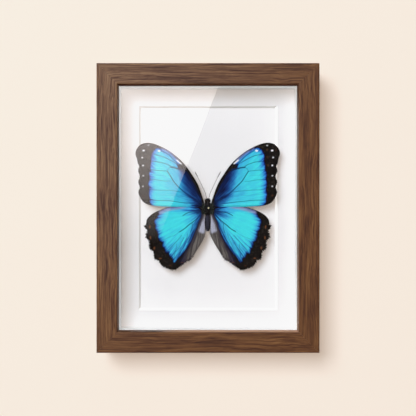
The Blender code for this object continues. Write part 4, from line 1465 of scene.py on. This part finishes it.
def window(name, way, distance, size, share):
    """A square light that adds this share of white, in each colour, to a sheet facing the front.

    A square light of P watts lights a far sheet with P cos(a) / (pi d^2), and a white sheet gives
    back 1 / pi of that. So P is share pi^2 d^2 / cos(a), with a the angle to the sheet's normal.
    """
    data = bpy.data.lights.new(name, "AREA")
    data.energy = share[1] * math.pi**2 * distance**2 / -way.y
    data.color = [value / share[1] for value in share]
    data.size = size
    light = new_object(name, data)
    light.location = middle + way * distance
    light.rotation_euler = way.to_track_quat("Z", "Y").to_euler()
    return light


window("window", KEY_WAY, KEY_DISTANCE, KEY_SIZE, KEY_SHARE)
fill = window("front_fill", Vector((0.0, -1.0, 0.0)), FILL_DISTANCE, FILL_SIZE, FILL_SHARE)
fill.visible_glossy = False
fill.visible_transmission = False
print(f"light: a {KEY_SIZE} m window up on the left, and a {FILL_SIZE} m fill in front")

# %% Sky
# Strengths of the sky: in front of the wall, behind it, straight to the camera, and mirrored at
# the middle and at the edge of the glass.
SKY_FRONT, SKY_BEHIND, SKY_SEEN = 0.06, 0.95, 0.9
MIRRORED_MIDDLE, MIRRORED_EDGE = 0.04, 0.45

world = bpy.data.worlds.new("studio")
bpy.context.scene.world = world
world.use_nodes = True
tree = world.node_tree
sky = tree.nodes["Background"]
way = add(tree, "ShaderNodeTexCoord").outputs["Generated"]
along_y = add(tree, "ShaderNodeSeparateXYZ", {0: way}).outputs["Y"]
ray = add(tree, "ShaderNodeLightPath").outputs
soft = soft_step(tree, along_y, -0.1, 0.3, SKY_FRONT, SKY_BEHIND)
seen = calc(tree, "MAXIMUM", soft, times(tree, ray["Is Camera Ray"], SKY_SEEN))
feed(tree, sky, {"Strength": seen, "Color": (1.0, 0.985, 0.97, 1.0)})
mirrored = soft_step(tree, along_y, -0.98, -0.8, MIRRORED_MIDDLE, MIRRORED_EDGE)
mirror_sky = add(tree, "ShaderNodeBackground", {"Color": (1, 1, 1, 1), "Strength": mirrored})
skies = {0: ray["Is Glossy Ray"], 1: sky.outputs[0], 2: mirror_sky.outputs[0]}
whole = add(tree, "ShaderNodeMixShader", skies)
tree.links.new(whole.outputs[0], tree.nodes["World Output"].inputs["Surface"])
print(f"sky: {SKY_FRONT} in front of the wall and {SKY_BEHIND} behind it")

# %% [markdown]
# ## The streak of light on the glass
# A tall bright screen stands far in front, where only reflections find it. By the rule of mirrors,
# a point on the glass shows what stands behind the camera on the line that leaves it at the angle
# the view came in. So the screen's edge is the wanted line on the glass, spread from the camera's
# axis by 1 + distance of the screen / distance of the camera.

# %% Screen
SCREEN_DISTANCE = 1.5
SCREEN_LIGHT = 3.1
SCREEN_TINT = (1.0, 0.89, 0.84, 1)
SCREEN_LEFT = -0.2
# The streak's edge on the glass, from its middle: a point near the top and one lower down. Its
# light is full at the first of the two heights, and fades to nothing at the second.
EDGE_TOP = np.array([7.7, 94.1]) * MM
EDGE_LOW = np.array([-26.6, 6.6]) * MM
FULL_AT, GONE_AT = 50 * MM, -27 * MM

glass_y = glass_low[1]
spread = 1 + SCREEN_DISTANCE / (glass_y - camera.location[1])
slope = (EDGE_TOP - EDGE_LOW) / (EDGE_TOP[1] - EDGE_LOW[1])
high_end = EDGE_LOW + slope * 0.16
low_end = EDGE_LOW - slope * 0.06


def on_screen(point):
    return (point[0] * spread, glass_y - SCREEN_DISTANCE, MIDDLE_Z + point[1] * spread)


screen_light = bpy.data.materials.new("screen_light")
screen_light.use_nodes = True
tree = screen_light.node_tree
tree.nodes.remove(tree.nodes["Principled BSDF"])
height = add(tree, "ShaderNodeSeparateXYZ", {0: object_place(tree)}).outputs["Z"]
bottom, full = (MIDDLE_Z + z * spread for z in (GONE_AT, FULL_AT))
feeds = {"Value": height, "From Min": bottom, "From Max": full, "To Max": SCREEN_LIGHT}
fading = add(tree, "ShaderNodeMapRange", feeds).outputs[0]
glow = add(tree, "ShaderNodeEmission", {"Color": SCREEN_TINT, "Strength": fading})
tree.links.new(glow.outputs[0], tree.nodes["Material Output"].inputs["Surface"])
outline = (low_end, high_end, (SCREEN_LEFT, high_end[1]), (SCREEN_LEFT, low_end[1]))
screen = stage_sheet("screen", [on_screen(point) for point in outline], screen_light)
for ray in ("camera", "diffuse", "volume_scatter", "shadow"):
    setattr(screen, "visible_" + ray, False)
print(f"screen: spread {spread:.2f} times, {SCREEN_DISTANCE} m in front of the glass")

# %% [markdown]
# ## Colour of the picture
# The plain view transform keeps the blues as strong as the paint says, but it cuts off everything
# brighter than white. So a curve bends the brightest tones over gently, as film does, and the
# white board still has a little room above it for the streak of light on the glass.

# %% View
# Light coming in and light shown. Up to the first pair the curve is a straight line.
STRAIGHT_TO = 0.9
SHOULDER = ((0.96, 0.928), (1.08, 0.945), (1.3, 0.972), (1.7, 1.0))

view = bpy.context.scene.view_settings
view.view_transform = "Standard"
view.use_curve_mapping = True
shoulder = view.curve_mapping
shoulder.use_clip = False
curve = shoulder.curves[3]
for point, light in zip(curve.points, (0.0, STRAIGHT_TO)):
    point.location = (light, light)
for light, shown in SHOULDER:
    curve.points.new(light, shown)
for point in curve.points:
    point.handle_type = "VECTOR"
shoulder.update()
